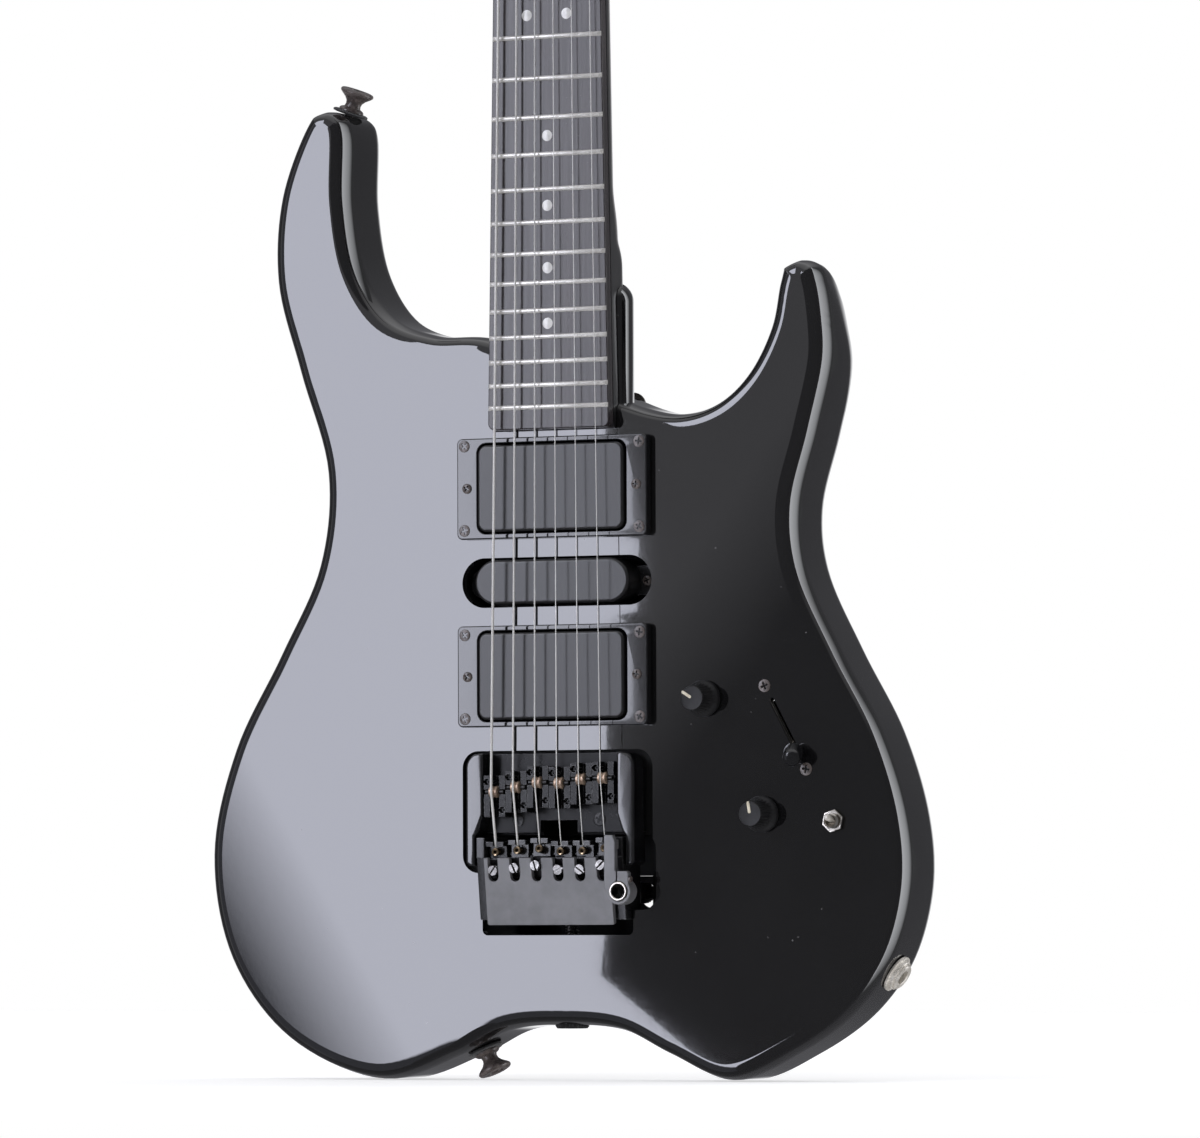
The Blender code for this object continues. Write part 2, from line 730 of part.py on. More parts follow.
def string_path(index):
    """Places and radii along a string, from its upper ball end to its lower one."""
    radius = STRING_RADII[index]
    rest_on_fret = FRONT - BOARD_RISE - FRET_HEIGHT - GAP - radius
    rest_on_roller = FRONT - STRING_RISE_AT_SADDLE - radius
    x_head = string_x(index, NUT_Z + BOARD_PAST_NUT + GAP)
    head_y = FRONT - BOARD_RISE + BOARD_THICKNESS - 0.0060
    x_saddle = string_x(index, SADDLE_Z)
    ball, ball_y = lower_ball(index)
    top = ball_z()
    return (
        ((x_head, head_y, top + 0.0042), BALL_RADIUS),
        ((x_head, head_y, top + 0.0004), BALL_RADIUS),
        ((x_head, head_y, top), radius),
        ((string_x(index, NUT_Z), rest_on_fret, NUT_Z), radius),
        ((x_saddle, rest_on_roller, saddle_z(index)), radius),
        ((x_saddle, ball_y, ball + 0.0019), radius),
        ((x_saddle, ball_y, ball + 0.0015), BALL_RADIUS),
        ((x_saddle, ball_y, ball - 0.0019), BALL_RADIUS),
    )


def lower_ball(index):
    """Height and depth of the lower ball end in its tilted jaw."""
    arm = Vector((-0.0058, 0.0017))
    angle = math.radians(JAW_TILTS_DEG[index])
    y = arm.x * math.cos(angle) - arm.y * math.sin(angle)
    z = arm.x * math.sin(angle) + arm.y * math.cos(angle)
    return PIVOT_Z + z, FRONT - PIVOT_HEIGHT + y


def make_strings(parts, finish):
    for index, name in enumerate(string_names("string")):
        path = string_path(index)
        curve = bpy.data.curves.new(name, "CURVE")
        curve.dimensions = "3D"
        curve.bevel_depth = 1.0
        curve.bevel_resolution = 2
        curve.use_fill_caps = True
        spline = curve.splines.new("POLY")
        spline.points.add(len(path) - 1)
        for point, (place, radius) in zip(spline.points, path):
            point.co = (*place, 1.0)
            point.radius = radius
        mesh = mesh_of_curve(name, curve, Matrix())
        add_object(name, mesh, parts, finish)


def make_pickups(parts, helpers, finish, ring_finish):
    inner_width = COVER_WIDTH + 2 * PICKUP_CLEARANCE
    inner_length = COVER_LENGTH + 2 * PICKUP_CLEARANCE
    for place, height in (("neck", NECK_PICKUP_Z), ("bridge", BRIDGE_PICKUP_Z)):
        outer = rounded_rectangle(0.0, height, RING_WIDTH, RING_LENGTH, 0.0025)
        inner = rounded_rectangle(0.0, height, inner_width, inner_length, 0.0025)
        ring = front_plate(f"pickup_ring_{place}", [outer, inner], RING_HEIGHT, -GAP)
        ring_item = add_object(f"pickup_ring_{place}", ring, parts, ring_finish)
        move_origin(ring_item, (0.0, FRONT, height))
        cover = rounded_rectangle(0.0, height, COVER_WIDTH, COVER_LENGTH, 0.0030)
        depth = PICKUP_HEIGHT - PICKUP_RISE
        mesh = front_plate(f"pickup_{place}", [cover], PICKUP_RISE, depth, 0.0010, 1)
        item = add_object(f"pickup_{place}", mesh, parts, finish)
        move_origin(item, (0.0, FRONT, height))
    pill = rounded_rectangle(
        0.0, MIDDLE_PICKUP_Z, PILL_WIDTH, PILL_LENGTH, PILL_LENGTH * 0.499, 5
    )
    depth = PICKUP_HEIGHT - PICKUP_RISE
    mesh = front_plate("pickup_middle", [pill], PILL_RISE, depth, 0.0012, 1)
    item = add_object("pickup_middle", mesh, parts, finish)
    ears = rounded_rectangle(
        0.0, MIDDLE_PICKUP_Z, PILL_ROUT_WIDTH - 2 * PICKUP_CLEARANCE, 0.0130, 0.0055, 3
    )
    unite(item, front_plate("pickup_middle_ears", [ears], -0.0040, 0.0060), helpers)


def make_frame(parts, helpers, finish):
    """The fixed frame that carries the saddles and, in its two arms, the tail's shaft."""
    half = FRAME_HALF_WIDTH
    bottom = FRAME_FLOOR_DEPTH + FRAME_FLOOR_THICKNESS
    top_corner = 0.0060
    floor = [
        (-half + top_corner, FRAME_TOP_Z), (-half, FRAME_TOP_Z - top_corner),
        (-half, FRAME_END_Z), (-0.0090, FRAME_END_Z), (-0.0090, FRAME_END_Z + 0.0053),
        (0.0090, FRAME_END_Z + 0.0053), (0.0090, FRAME_END_Z), (half, FRAME_END_Z),
        (half, FRAME_TOP_Z - top_corner), (half - top_corner, FRAME_TOP_Z),
    ]
    mesh = front_plate("tremolo_frame", [floor], -FRAME_FLOOR_DEPTH, bottom)
    frame = add_object("tremolo_frame", mesh, parts, finish)
    for side, word in ((-1, "left"), (1, "right")):
        loop = [
            (side * half, ARM_END_Z), (side * half, FRAME_TOP_Z - top_corner),
            (side * (half - 0.3 * top_corner), FRAME_TOP_Z - 0.3 * top_corner),
            (side * (half - top_corner), FRAME_TOP_Z), (side * FLANGE_INNER, FRAME_TOP_Z),
            (side * FLANGE_INNER, FRAME_END_Z + 0.0080),
            (side * (ARM_INNER - 0.0014), FRAME_END_Z),
            (side * ARM_INNER, FRAME_END_Z - 0.0015), (side * ARM_INNER, ARM_END_Z),
        ]
        flange = front_plate(f"{word}_flange", [loop], FLANGE_HEIGHT, bottom - GAP / 3)
        unite(frame, flange, helpers)
    hole = rod("shaft_hole", shaft_end(-1.2), shaft_end(1.2), SHAFT_RADIUS + RUNNING_GAP)
    cut(frame, hole, helpers)
    move_origin(frame, (0.0, FRONT, SADDLE_Z))
    return frame


def shaft_end(side):
    return (side * FRAME_HALF_WIDTH, FRONT - PIVOT_HEIGHT, PIVOT_Z)


def make_saddles(parts, helpers, finish, roller_finish):
    floor_y = FRONT + FRAME_FLOOR_DEPTH - GAP
    crown_y = FRONT - SADDLE_HEIGHT
    axle_y = FRONT - STRING_RISE_AT_SADDLE + GAP + ROLLER_RADIUS
    half = SADDLE_WIDTH / 2
    channel = SADDLE_CHANNEL / 2
    for index in range(STRING_COUNT):
        x = string_x(index, SADDLE_Z)
        height = saddle_z(index)
        low = height + SADDLE_NOSE - SADDLE_LENGTH
        high = height + SADDLE_NOSE
        name = f"saddle_{index + 1}"
        sill_y = floor_y - 0.0030
        loop = [
            (x - half, floor_y), (x + half, floor_y), (x + half, crown_y), (x + channel, crown_y),
            (x + channel, sill_y), (x - channel, sill_y), (x - channel, crown_y),
            (x - half, crown_y),
        ]
        middle = Matrix.Translation((0.0, 0.0, (low + high) / 2))
        mesh = plate(name, [loop], middle, high - low)
        item = add_object(name, mesh, parts, finish)
        axle = rod(
            f"{name}_axle_hole",
            (x - half - 0.002, axle_y, height),
            (x + half + 0.002, axle_y, height),
            AXLE_RADIUS + RUNNING_GAP,
            10,
        )
        front_screw = rod(
            f"{name}_front_hole",
            (x - (half + channel) / 2, crown_y - 0.002, high - 0.0028),
            (x - (half + channel) / 2, crown_y + 0.0040, high - 0.0028),
            0.00105,
            8,
        )
        back_screw = rod(
            f"{name}_back_hole",
            (x + (half + channel) / 2, crown_y - 0.002, low + 0.0032),
            (x + (half + channel) / 2, crown_y + 0.0040, low + 0.0032),
            0.00105,
            8,
        )
        cut(item, join_meshes(f"{name}_holes", [axle, front_screw, back_screw]), helpers)
        move_origin(item, (x, floor_y, height))
        half_roller = ROLLER_WIDTH / 2
        reach = half - 0.0006
        groove = ROLLER_RADIUS - 0.0004
        profile = (
            (0.0, reach), (AXLE_RADIUS, reach), (AXLE_RADIUS, half_roller),
            (ROLLER_RADIUS - 0.0003, half_roller), (ROLLER_RADIUS, half_roller * 0.6),
            (groove + 0.0004, 0.0), (ROLLER_RADIUS, -half_roller * 0.6),
            (ROLLER_RADIUS - 0.0003, -half_roller), (AXLE_RADIUS, -half_roller),
            (AXLE_RADIUS, -reach), (0.0, -reach),
        )
        roller = turned(f"roller_{index + 1}", profile, False, parts, roller_finish, 12)
        aim(roller, (x, axle_y, height), (1.0, 0.0, 0.0))


def plate_y(height, depth_into=0.0):
    """The tail plate's outer face at a height, or a plane below it."""
    slope = math.tan(math.radians(PLATE_TILT_DEG))
    lean = math.cos(math.radians(PLATE_TILT_DEG))
    return FRONT - PLATE_HEIGHT + (PLATE_TOP_Z - height) * slope + depth_into / lean


def make_tail_block(parts, helpers, finish):
    """The moving tail: two cheeks, the shaft, the floor bar and the spring lever."""
    bar_top = FRONT + FLOOR_BAR_DEPTH
    bar_bottom = bar_top + FLOOR_BAR_THICKNESS
    front_z = FRAME_END_Z - 0.0023
    under = PLATE_THICKNESS + GAP
    loop = [
        (FRONT - CHEEK_HEIGHT, front_z), (FRONT + 0.0020, front_z), (bar_bottom, PIVOT_Z),
        (bar_bottom, TAIL_END_Z),
        (plate_y(TAIL_END_Z, under), TAIL_END_Z), (plate_y(PLATE_TOP_Z, under), PLATE_TOP_Z),
        (FRONT - CHEEK_HEIGHT, PLATE_TOP_Z + 0.0004),
    ]
    mesh = side_plate("tail_block", loop, -CHEEK_OUTER, -CHEEK_INNER)
    block = add_object("tail_block", mesh, parts, finish)
    unite(block, side_plate("right_cheek", loop, CHEEK_INNER, CHEEK_OUTER), helpers)
    bar = box(
        "floor_bar",
        (-CHEEK_OUTER, bar_top, TAIL_END_Z),
        (CHEEK_OUTER, bar_bottom - GAP / 3, PIVOT_Z - 0.0055),
    )
    unite(block, bar, helpers)
    reach = (FRAME_HALF_WIDTH - 2 * GAP) / FRAME_HALF_WIDTH
    unite(block, rod("shaft", shaft_end(-reach), shaft_end(reach), SHAFT_RADIUS), helpers)
    lever = box(
        "spring_lever",
        (-0.0025, bar_bottom - 0.0010, SPRING_START_Z),
        (0.0025, FRONT + SPRING_DEPTH + SPRING_RADIUS, SPRING_START_Z + 0.0035),
    )
    unite(block, lever, helpers)
    holes = []
    for index in range(STRING_COUNT):
        x = string_x(index, SADDLE_Z)
        holes.append(
            rod(
                "tuner_hole",
                (x, bar_top - 0.002, TUNER_Z),
                (x, bar_bottom + 0.002, TUNER_Z),
                TUNER_SHAFT_RADIUS + RUNNING_GAP,
                12,
            )
        )
    cut(block, join_meshes("tuner_holes", holes), helpers)
    move_origin(block, shaft_end(0.0))
    return block


def make_tail_plate(parts, helpers, finish):
    """The satin plate over the jaws, with an open slot for each tuning screw."""
    half = PLATE_HALF_WIDTH
    slot = PLATE_SLOT_HALF_WIDTH
    loop = [(-half, -PLATE_LENGTH), (half, -PLATE_LENGTH), (half, 0.0)]
    slot_bottom = PLATE_SLOT_END_Z - PLATE_TOP_Z
    for index in reversed(range(STRING_COUNT)):
        x = string_x(index, SADDLE_Z)
        loop.append((x + slot, 0.0))
        for step in range(5):
            angle = math.pi * step / 4
            loop.append((x + slot * math.cos(angle), slot_bottom + slot - slot * math.sin(angle)))
        loop.append((x - slot, 0.0))
    loop.append((-half, 0.0))
    tilt = Matrix.Rotation(math.radians(PLATE_TILT_DEG), 4, "X")
    place = Matrix.Translation((0.0, plate_y(PLATE_TOP_Z), PLATE_TOP_Z))
    matrix = place @ tilt @ along_y(PLATE_THICKNESS / 2)
    mesh = plate("tail_plate", [loop], matrix, PLATE_THICKNESS)
    item = add_object("tail_plate", mesh, parts, finish)
    move_origin(item, shaft_end(0.0))
    return item


def make_jaws(parts, helpers, finish):
    """A tilting jaw for each string: claw, ball seat, screw head and the arm to its tuner."""
    # Profile in Y and Z about the shaft
    loop = [
        (-0.0072, 0.0062), (-0.0072, 0.0042), (-0.0037, 0.0040), (-0.0037, -0.0012),
        (-0.0066, -0.0014), (-0.0036, -0.0100), (-0.0006, -0.0115), (-0.0006, -0.0210),
        (0.0022, -0.0210), (0.0022, -0.0100), (0.0034, -0.0020), (0.0034, 0.0034),
        (-0.0010, 0.0062),
    ]
    arm_z = TUNER_Z - PIVOT_Z
    half = JAW_WIDTH / 2
    for index, name in enumerate(string_names("tuner_jaw")):
        mesh = side_plate(name, loop, -half, half)
        jaw = add_object(name, mesh, parts, finish)
        screw = rod(
            f"{name}_screw", (0.0, -0.0040, -0.0060), (0.0, -0.0106, -0.0060), JAW_SCREW_RADIUS, 12
        )
        unite(jaw, screw, helpers).parent = jaw
        slit = box(
            f"{name}_slit", (-0.0009, -0.0090, 0.0030), (0.0009, -0.0030, 0.0080)
        )
        shaft = rod(
            f"{name}_shaft_hole",
            (-half - 0.001, 0.0, 0.0),
            (half + 0.001, 0.0, 0.0),
            SHAFT_RADIUS + RUNNING_GAP,
        )
        tuner = rod(
            f"{name}_tuner_hole", (0.0, -0.0040, arm_z), (0.0, 0.0040, arm_z), 0.0023, 10
        )
        cut(jaw, join_meshes(f"{name}_holes", [slit, shaft, tuner]), helpers).parent = jaw
        jaw.location = (string_x(index, SADDLE_Z), FRONT - PIVOT_HEIGHT, PIVOT_Z)
        jaw.rotation_euler.x = math.radians(JAW_TILTS_DEG[index])


def make_tuner_knobs(parts, finish):
    """The tuning knobs behind the body's opening, each on a long screw through its jaw's arm."""
    collar_top = FLOOR_BAR_DEPTH + FLOOR_BAR_THICKNESS + GAP
    tip = -0.0050
    profile = (
        (0.0, -tip), (TUNER_SHAFT_RADIUS, -tip), (TUNER_SHAFT_RADIUS, -collar_top),
        (TUNER_SHAFT_RADIUS + 0.0012, -collar_top),
        (TUNER_SHAFT_RADIUS + 0.0012, -collar_top - 0.0010),
        (TUNER_SHAFT_RADIUS, -collar_top - 0.0010), (TUNER_SHAFT_RADIUS, -TUNER_KNOB_DEPTH),
        (TUNER_KNOB_RADIUS, -TUNER_KNOB_DEPTH),
        (TUNER_KNOB_RADIUS, -TUNER_KNOB_DEPTH - TUNER_KNOB_LENGTH),
        (0.0, -TUNER_KNOB_DEPTH - TUNER_KNOB_LENGTH),
    )
    for index, name in enumerate(string_names("tuner_knob")):
        knob = turned(name, profile, False, parts, finish, 12)
        aim(knob, (string_x(index, SADDLE_Z), FRONT, TUNER_Z), (0.0, -1.0, 0.0))


def make_arm_clamp(parts, helpers, finish, socket_finish):
    """The split clamp for the vibrato arm, on the right cheek, and the bright socket in it."""
    left = CHEEK_INNER - 2 * CHEEK_GAP
    right = CHEEK_OUTER - GAP
    under = CLAMP_HEIGHT - CLAMP_THICKNESS
    top_z = FRAME_END_Z - 0.0015
    ear = SOCKET_X + 0.0048
    arm = [
        (left, top_z), (right - 0.0012, top_z), (right, top_z - 0.0030),
        (right, SOCKET_Z + 0.0088), (ear, SOCKET_Z + 0.0088), (ear, SOCKET_Z + 0.0010),
        (SOCKET_X, SOCKET_Z - 0.0010), (left, SOCKET_Z + 0.0010),
    ]
    mesh = front_plate("arm_clamp", [arm], CLAMP_HEIGHT, -under)
    clamp = add_object("arm_clamp", mesh, parts, finish)
    boss = rod(
        "clamp_boss",
        (SOCKET_X, FRONT - CLAMP_HEIGHT + GAP / 3, SOCKET_Z),
        (SOCKET_X, FRONT - CLAMP_HEIGHT + CLAMP_DEPTH, SOCKET_Z),
        CLAMP_BOSS_RADIUS,
        20,
    )
    unite(clamp, boss, helpers)
    foot_top = FRONT - CHEEK_HEIGHT - GAP
    foot = box(
        "clamp_foot",
        (CHEEK_INNER, FRONT - CLAMP_HEIGHT + 0.0010, top_z - 0.0060),
        (right - 0.0013, foot_top, top_z - 0.0020),
    )
    unite(clamp, foot, helpers)
    bore = rod(
        "clamp_bore",
        (SOCKET_X, FRONT - CLAMP_HEIGHT - 0.002, SOCKET_Z),
        (SOCKET_X, FRONT, SOCKET_Z),
        SOCKET_RADIUS + GAP,
        20,
    )
    slit = box(
        "clamp_slit",
        (SOCKET_X - 0.0012, FRONT - CLAMP_HEIGHT - 0.002, SOCKET_Z + 0.0030),
        (SOCKET_X - 0.0004, FRONT, SOCKET_Z + 0.0120),
    )
    cut(clamp, bore, helpers)
    cut(clamp, slit, helpers)
    move_origin(clamp, shaft_end(0.0))
    low = -CLAMP_DEPTH
    rim = 0.0007
    profile = (
        (SOCKET_BORE_RADIUS + 0.0003, rim), (SOCKET_RADIUS - 0.0003, rim),
        (SOCKET_RADIUS, rim - 0.0003), (SOCKET_RADIUS, low), (SOCKET_BORE_RADIUS, low),
        (SOCKET_BORE_RADIUS, rim - 0.0003),
    )
    socket = turned("arm_socket", profile, True, parts, socket_finish, 16)
    aim(socket, (SOCKET_X, FRONT - CLAMP_HEIGHT, SOCKET_Z), (0.0, -1.0, 0.0))


def make_spring(parts, finish, knob_finish):
    """The balance spring between the tail's lever and the tension knob in the tail arch."""
    y = FRONT + SPRING_DEPTH
    start = SPRING_START_Z - GAP
    length = start - SPRING_END_Z
    profile = (
        (SPRING_RADIUS, 0.0), (SPRING_RADIUS, -length), (SPRING_RADIUS - 0.0009, -length),
        (SPRING_RADIUS - 0.0009, 0.0),
    )
    spring = turned("tremolo_spring", profile, True, parts, finish, 12)
    aim(spring, (0.0, y, start), (0.0, 0.0, 1.0))
    seat = SPRING_END_Z - GAP
    head = seat - 0.0080
    face = OUTLINE[0][1] - 0.0015
    profile = (
        (0.0, 0.0), (SPRING_RADIUS, 0.0), (SPRING_RADIUS, head - seat),
        (TENSION_KNOB_RADIUS, head - seat), (TENSION_KNOB_RADIUS, face + 0.0008 - seat),
        (TENSION_KNOB_RADIUS - 0.0008, face - seat), (0.0, face - seat),
    )
    knob = turned("tension_knob", profile, False, parts, knob_finish, 20)
    aim(knob, (0.0, y, seat), (0.0, 0.0, 1.0))


def make_controls(parts, helpers, knob_finish, metal, dark_metal, cover_finish):
    for word, place in (("volume", VOLUME_AT), ("tone", TONE_AT)):
        make_knob_and_pot(word, place, parts, knob_finish, metal)
    make_switch(parts, helpers, knob_finish, dark_metal)
    make_toggle(parts, helpers, metal)
    make_jack(parts, metal)
    cavity = rounded(CAVITY_OUTLINE, CAVITY_CORNER)
    mesh = front_plate(
        "control_cover",
        [cavity],
        COVER_THICKNESS - BODY_THICKNESS,
        BODY_THICKNESS,
        offset=COVER_LIP - GAP,
    )
    add_object("control_cover", mesh, parts, cover_finish)


def make_knob_and_pot(word, place, parts, knob_finish, metal):
    lift = 0.0005
    bore_top = KNOB_HEIGHT - 0.0030
    bore = POT_SHAFT_RADIUS + GAP
    profile = (
        (0.0, KNOB_HEIGHT), (KNOB_TOP_RADIUS - 0.0005, KNOB_HEIGHT),
        (KNOB_TOP_RADIUS, KNOB_HEIGHT - 0.0005), (KNOB_TOP_RADIUS + 0.0011, 0.0042),
        (KNOB_SKIRT_RADIUS - 0.0008, 0.0036), (KNOB_SKIRT_RADIUS, 0.0028),
        (KNOB_SKIRT_RADIUS, lift), (bore, lift), (bore, bore_top), (0.0, bore_top),
    )
    knob = turned(f"{word}_knob", profile, False, parts, knob_finish, 24)
    aim(knob, (place[0], FRONT, place[1]), (0.0, -1.0, 0.0))
    under = -CAVITY_CEILING - GAP
    profile = (
        (0.0, bore_top - GAP), (POT_SHAFT_RADIUS, bore_top - GAP), (POT_SHAFT_RADIUS, 0.0),
        (POT_BUSHING_RADIUS, 0.0), (POT_BUSHING_RADIUS, under), (POT_RADIUS, under),
        (POT_RADIUS, under - POT_HEIGHT), (0.0, under - POT_HEIGHT),
    )
    pot = turned(f"{word}_pot", profile, False, parts, metal, 16)
    aim(pot, (place[0], FRONT, place[1]), (0.0, -1.0, 0.0))


def make_switch(parts, helpers, knob_finish, metal):
    """The five-way blade switch: its box below the face and the lever through the slot."""
    under = FRONT + CAVITY_CEILING + GAP
    blade = 0.0012
    slit = blade + 4 * GAP
    unit_mesh = box("switch_unit", (-0.0055, under, -0.0210), (0.0055, under + 0.0190, 0.0210))
    unit = add_object("switch_unit", unit_mesh, parts, metal)
    groove = box(
        "switch_groove", (-slit / 2, under - 0.002, -0.0165), (slit / 2, under + 0.0150, 0.0165)
    )
    cut(unit, groove, helpers).parent = unit
    unit.matrix_world = switch_matrix()
    pivot_y = FRONT + SWITCH_PIVOT_DEPTH
    start = SWITCH_PIVOT_DEPTH + 0.0032
    tip_start = start / math.cos(math.radians(SWITCH_THROW_DEG))
    tip_end = tip_start + SWITCH_TIP_LENGTH
    half = blade / 2
    lever_mesh = box("switch_lever", (-half, -tip_start - 0.002, -0.0022), (half, 0.0010, 0.0022))
    lever = add_object("switch_lever", lever_mesh, parts, knob_finish)
    tip = rod("switch_tip", (0, -tip_start, 0), (0, -tip_end, 0), SWITCH_TIP_RADIUS, 16)
    unite(lever, tip, helpers).parent = lever
    place = switch_matrix() @ Matrix.Translation((0.0, pivot_y, 0.0))
    lever.matrix_world = place @ Matrix.Rotation(math.radians(SWITCH_THROW_DEG), 4, "X")


def make_toggle(parts, helpers, metal):
    """The two-way mini toggle: case, threaded bushing with its nut, and the bat."""
    case_top = CAVITY_CEILING + GAP
    wall = 0.0007
    mouth = 0.0046
    floor = 0.0010
    profile = (
        (TOGGLE_BUSHING_RADIUS - wall, mouth), (TOGGLE_BUSHING_RADIUS, mouth),
        (TOGGLE_BUSHING_RADIUS, 0.0022), (0.0045, 0.0022), (0.0045, GAP),
        (TOGGLE_BUSHING_RADIUS, GAP), (TOGGLE_BUSHING_RADIUS, -case_top),
        (0.0042, -case_top), (0.0042, -case_top - 0.0080), (0.0, -case_top - 0.0080),
    )
    inner = ((0.0, -floor), (TOGGLE_BUSHING_RADIUS - wall, -floor))
    item = turned("toggle_unit", inner + profile, False, parts, metal, 16)
    aim(item, (TOGGLE_AT[0], FRONT, TOGGLE_AT[1]), (0.0, -1.0, 0.0))
    length = 0.0125
    profile = (
        (0.0, length), (0.0012, length - 0.0003), (0.0016, length - 0.0015), (0.0010, 0.0010),
        (0.0010, -0.0002), (0.0, -0.0002),
    )
    bat = turned("toggle_bat", profile, False, parts, metal, 10)
    throw = math.radians(TOGGLE_THROW_DEG)
    aim(
        bat,
        (TOGGLE_AT[0], FRONT, TOGGLE_AT[1]),
        (0.0, -math.cos(throw), math.sin(throw)),
    )


def make_jack(parts, metal):
    """The side output socket: barrel, washer and round nut around the plug bore."""
    at, outward = edge_frame(JACK_AT)
    bore = JACK_BORE_RADIUS
    profile = (
        (bore, 0.0042), (JACK_BARREL_RADIUS, 0.0042), (JACK_BARREL_RADIUS, 0.0030),
        (JACK_BARREL_RADIUS + 0.0012, 0.0030), (JACK_BARREL_RADIUS + 0.0012, 0.0016),
        (JACK_WASHER_RADIUS, 0.0012), (JACK_WASHER_RADIUS, GAP), (JACK_BARREL_RADIUS, GAP),
        (JACK_BARREL_RADIUS, -0.0240), (bore, -0.0240),
    )
    jack = turned("output_jack", profile, True, parts, metal, 20)
    aim(jack, at, outward)


def make_strap_buttons(parts, metal, felt_finish):
    for word, place in strap_button_places():
        at, outward = edge_frame(place)
        shank = 0.0020
        base = FELT_THICKNESS + 2 * GAP
        top = base + STRAP_BUTTON_HEIGHT
        profile = (
            (0.0, top), (STRAP_BUTTON_RADIUS - 0.0010, top), (STRAP_BUTTON_RADIUS, top - 0.0010),
            (STRAP_BUTTON_RADIUS, top - 0.0016), (0.0034, base + 0.0036), (0.0034, base + 0.0020),
            (0.0056, base + 0.0014), (0.0056, base), (shank, base), (shank, -0.0190),
            (0.0, -0.0190),
        )
        button = turned(f"strap_button_{word}", profile, False, parts, metal, 20)
        aim(button, at, outward)
        profile = (
            (shank + GAP, base - GAP), (0.0080, base - GAP), (0.0080, GAP), (shank + GAP, GAP),
        )
        felt = turned(f"felt_washer_{word}", profile, True, parts, felt_finish, 20)
        aim(felt, at, outward)


def main():
    clear_scene()
    parts = make_collection("headless_guitar")
    helpers = make_collection("cutters")
    gloss_black = make_material("gloss_black", (0.006, 0.006, 0.007), 0.06)
    neck_black = make_material("neck_composite", (0.03, 0.03, 0.032), 0.35)
    board_black = make_material("fingerboard", (0.035, 0.033, 0.034), 0.40)
    string_steel = make_material("string_steel", (0.70, 0.68, 0.64), 0.25, 1.0)
    pickup_black = make_material("pickup_satin", (0.02, 0.02, 0.021), 0.35)
    ring_black = make_material("ring_gloss", (0.012, 0.012, 0.013), 0.15)
    bridge_black = make_material("bridge_satin", (0.03, 0.03, 0.032), 0.35, 0.4)
    brass = make_material("roller_brass", (0.70, 0.45, 0.28), 0.35, 1.0)
    knob_black = make_material("knob_black", (0.02, 0.02, 0.02), 0.45)
    nickel = make_material("nickel", (0.62, 0.58, 0.52), 0.25, 1.0)
    felt = make_material("felt_black", (0.02, 0.02, 0.02), 0.9)
    make_body(parts, helpers, gloss_black)
    make_neck(parts, neck_black)
    make_fingerboard(parts, board_black)
    make_headpiece(parts, helpers, bridge_black)
    make_strings(parts, string_steel)
    make_pickups(parts, helpers, pickup_black, ring_black)
    make_frame(parts, helpers, bridge_black)
    make_saddles(parts, helpers, bridge_black, brass)
    make_tail_block(parts, helpers, bridge_black)
    make_tail_plate(parts, helpers, bridge_black)
    make_jaws(parts, helpers, bridge_black)
    make_tuner_knobs(parts, knob_black)
    make_arm_clamp(parts, helpers, bridge_black, nickel)
    make_spring(parts, nickel, knob_black)
    make_controls(parts, helpers, knob_black, nickel, bridge_black, pickup_black)
    make_strap_buttons(parts, bridge_black, felt)


main()
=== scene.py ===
import json
import math

import bmesh
import bpy
from mathutils import Matrix, Quaternion, Vector

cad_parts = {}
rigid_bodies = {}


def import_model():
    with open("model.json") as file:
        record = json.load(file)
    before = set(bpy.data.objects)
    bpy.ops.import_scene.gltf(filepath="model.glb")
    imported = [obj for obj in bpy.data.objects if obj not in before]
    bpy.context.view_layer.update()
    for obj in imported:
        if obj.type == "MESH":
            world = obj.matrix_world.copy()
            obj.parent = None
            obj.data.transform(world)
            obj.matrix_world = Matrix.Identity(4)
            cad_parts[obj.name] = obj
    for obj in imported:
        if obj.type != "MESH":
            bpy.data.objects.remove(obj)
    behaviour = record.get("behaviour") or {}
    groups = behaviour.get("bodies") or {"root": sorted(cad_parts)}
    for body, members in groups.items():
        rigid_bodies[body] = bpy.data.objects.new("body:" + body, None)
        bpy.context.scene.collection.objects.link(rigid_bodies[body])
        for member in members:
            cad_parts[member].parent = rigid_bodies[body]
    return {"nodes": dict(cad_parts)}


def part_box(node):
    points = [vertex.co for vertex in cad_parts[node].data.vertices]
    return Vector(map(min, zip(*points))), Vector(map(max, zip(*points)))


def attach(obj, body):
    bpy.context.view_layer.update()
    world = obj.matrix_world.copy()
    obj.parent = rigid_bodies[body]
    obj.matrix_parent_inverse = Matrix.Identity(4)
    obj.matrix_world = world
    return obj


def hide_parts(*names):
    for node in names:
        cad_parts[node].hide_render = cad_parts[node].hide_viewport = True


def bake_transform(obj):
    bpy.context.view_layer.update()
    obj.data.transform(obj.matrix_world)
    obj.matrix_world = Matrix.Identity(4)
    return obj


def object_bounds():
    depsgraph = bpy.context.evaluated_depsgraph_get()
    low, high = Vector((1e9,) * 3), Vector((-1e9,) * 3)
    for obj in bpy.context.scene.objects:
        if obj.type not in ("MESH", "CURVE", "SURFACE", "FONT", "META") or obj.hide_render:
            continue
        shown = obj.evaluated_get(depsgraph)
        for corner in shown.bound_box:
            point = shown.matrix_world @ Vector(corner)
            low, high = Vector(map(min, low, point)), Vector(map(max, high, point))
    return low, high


for item in list(bpy.data.objects):
    bpy.data.objects.remove(item)
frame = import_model()
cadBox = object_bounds()
print("frame loaded,", len(frame["nodes"]), "nodes")

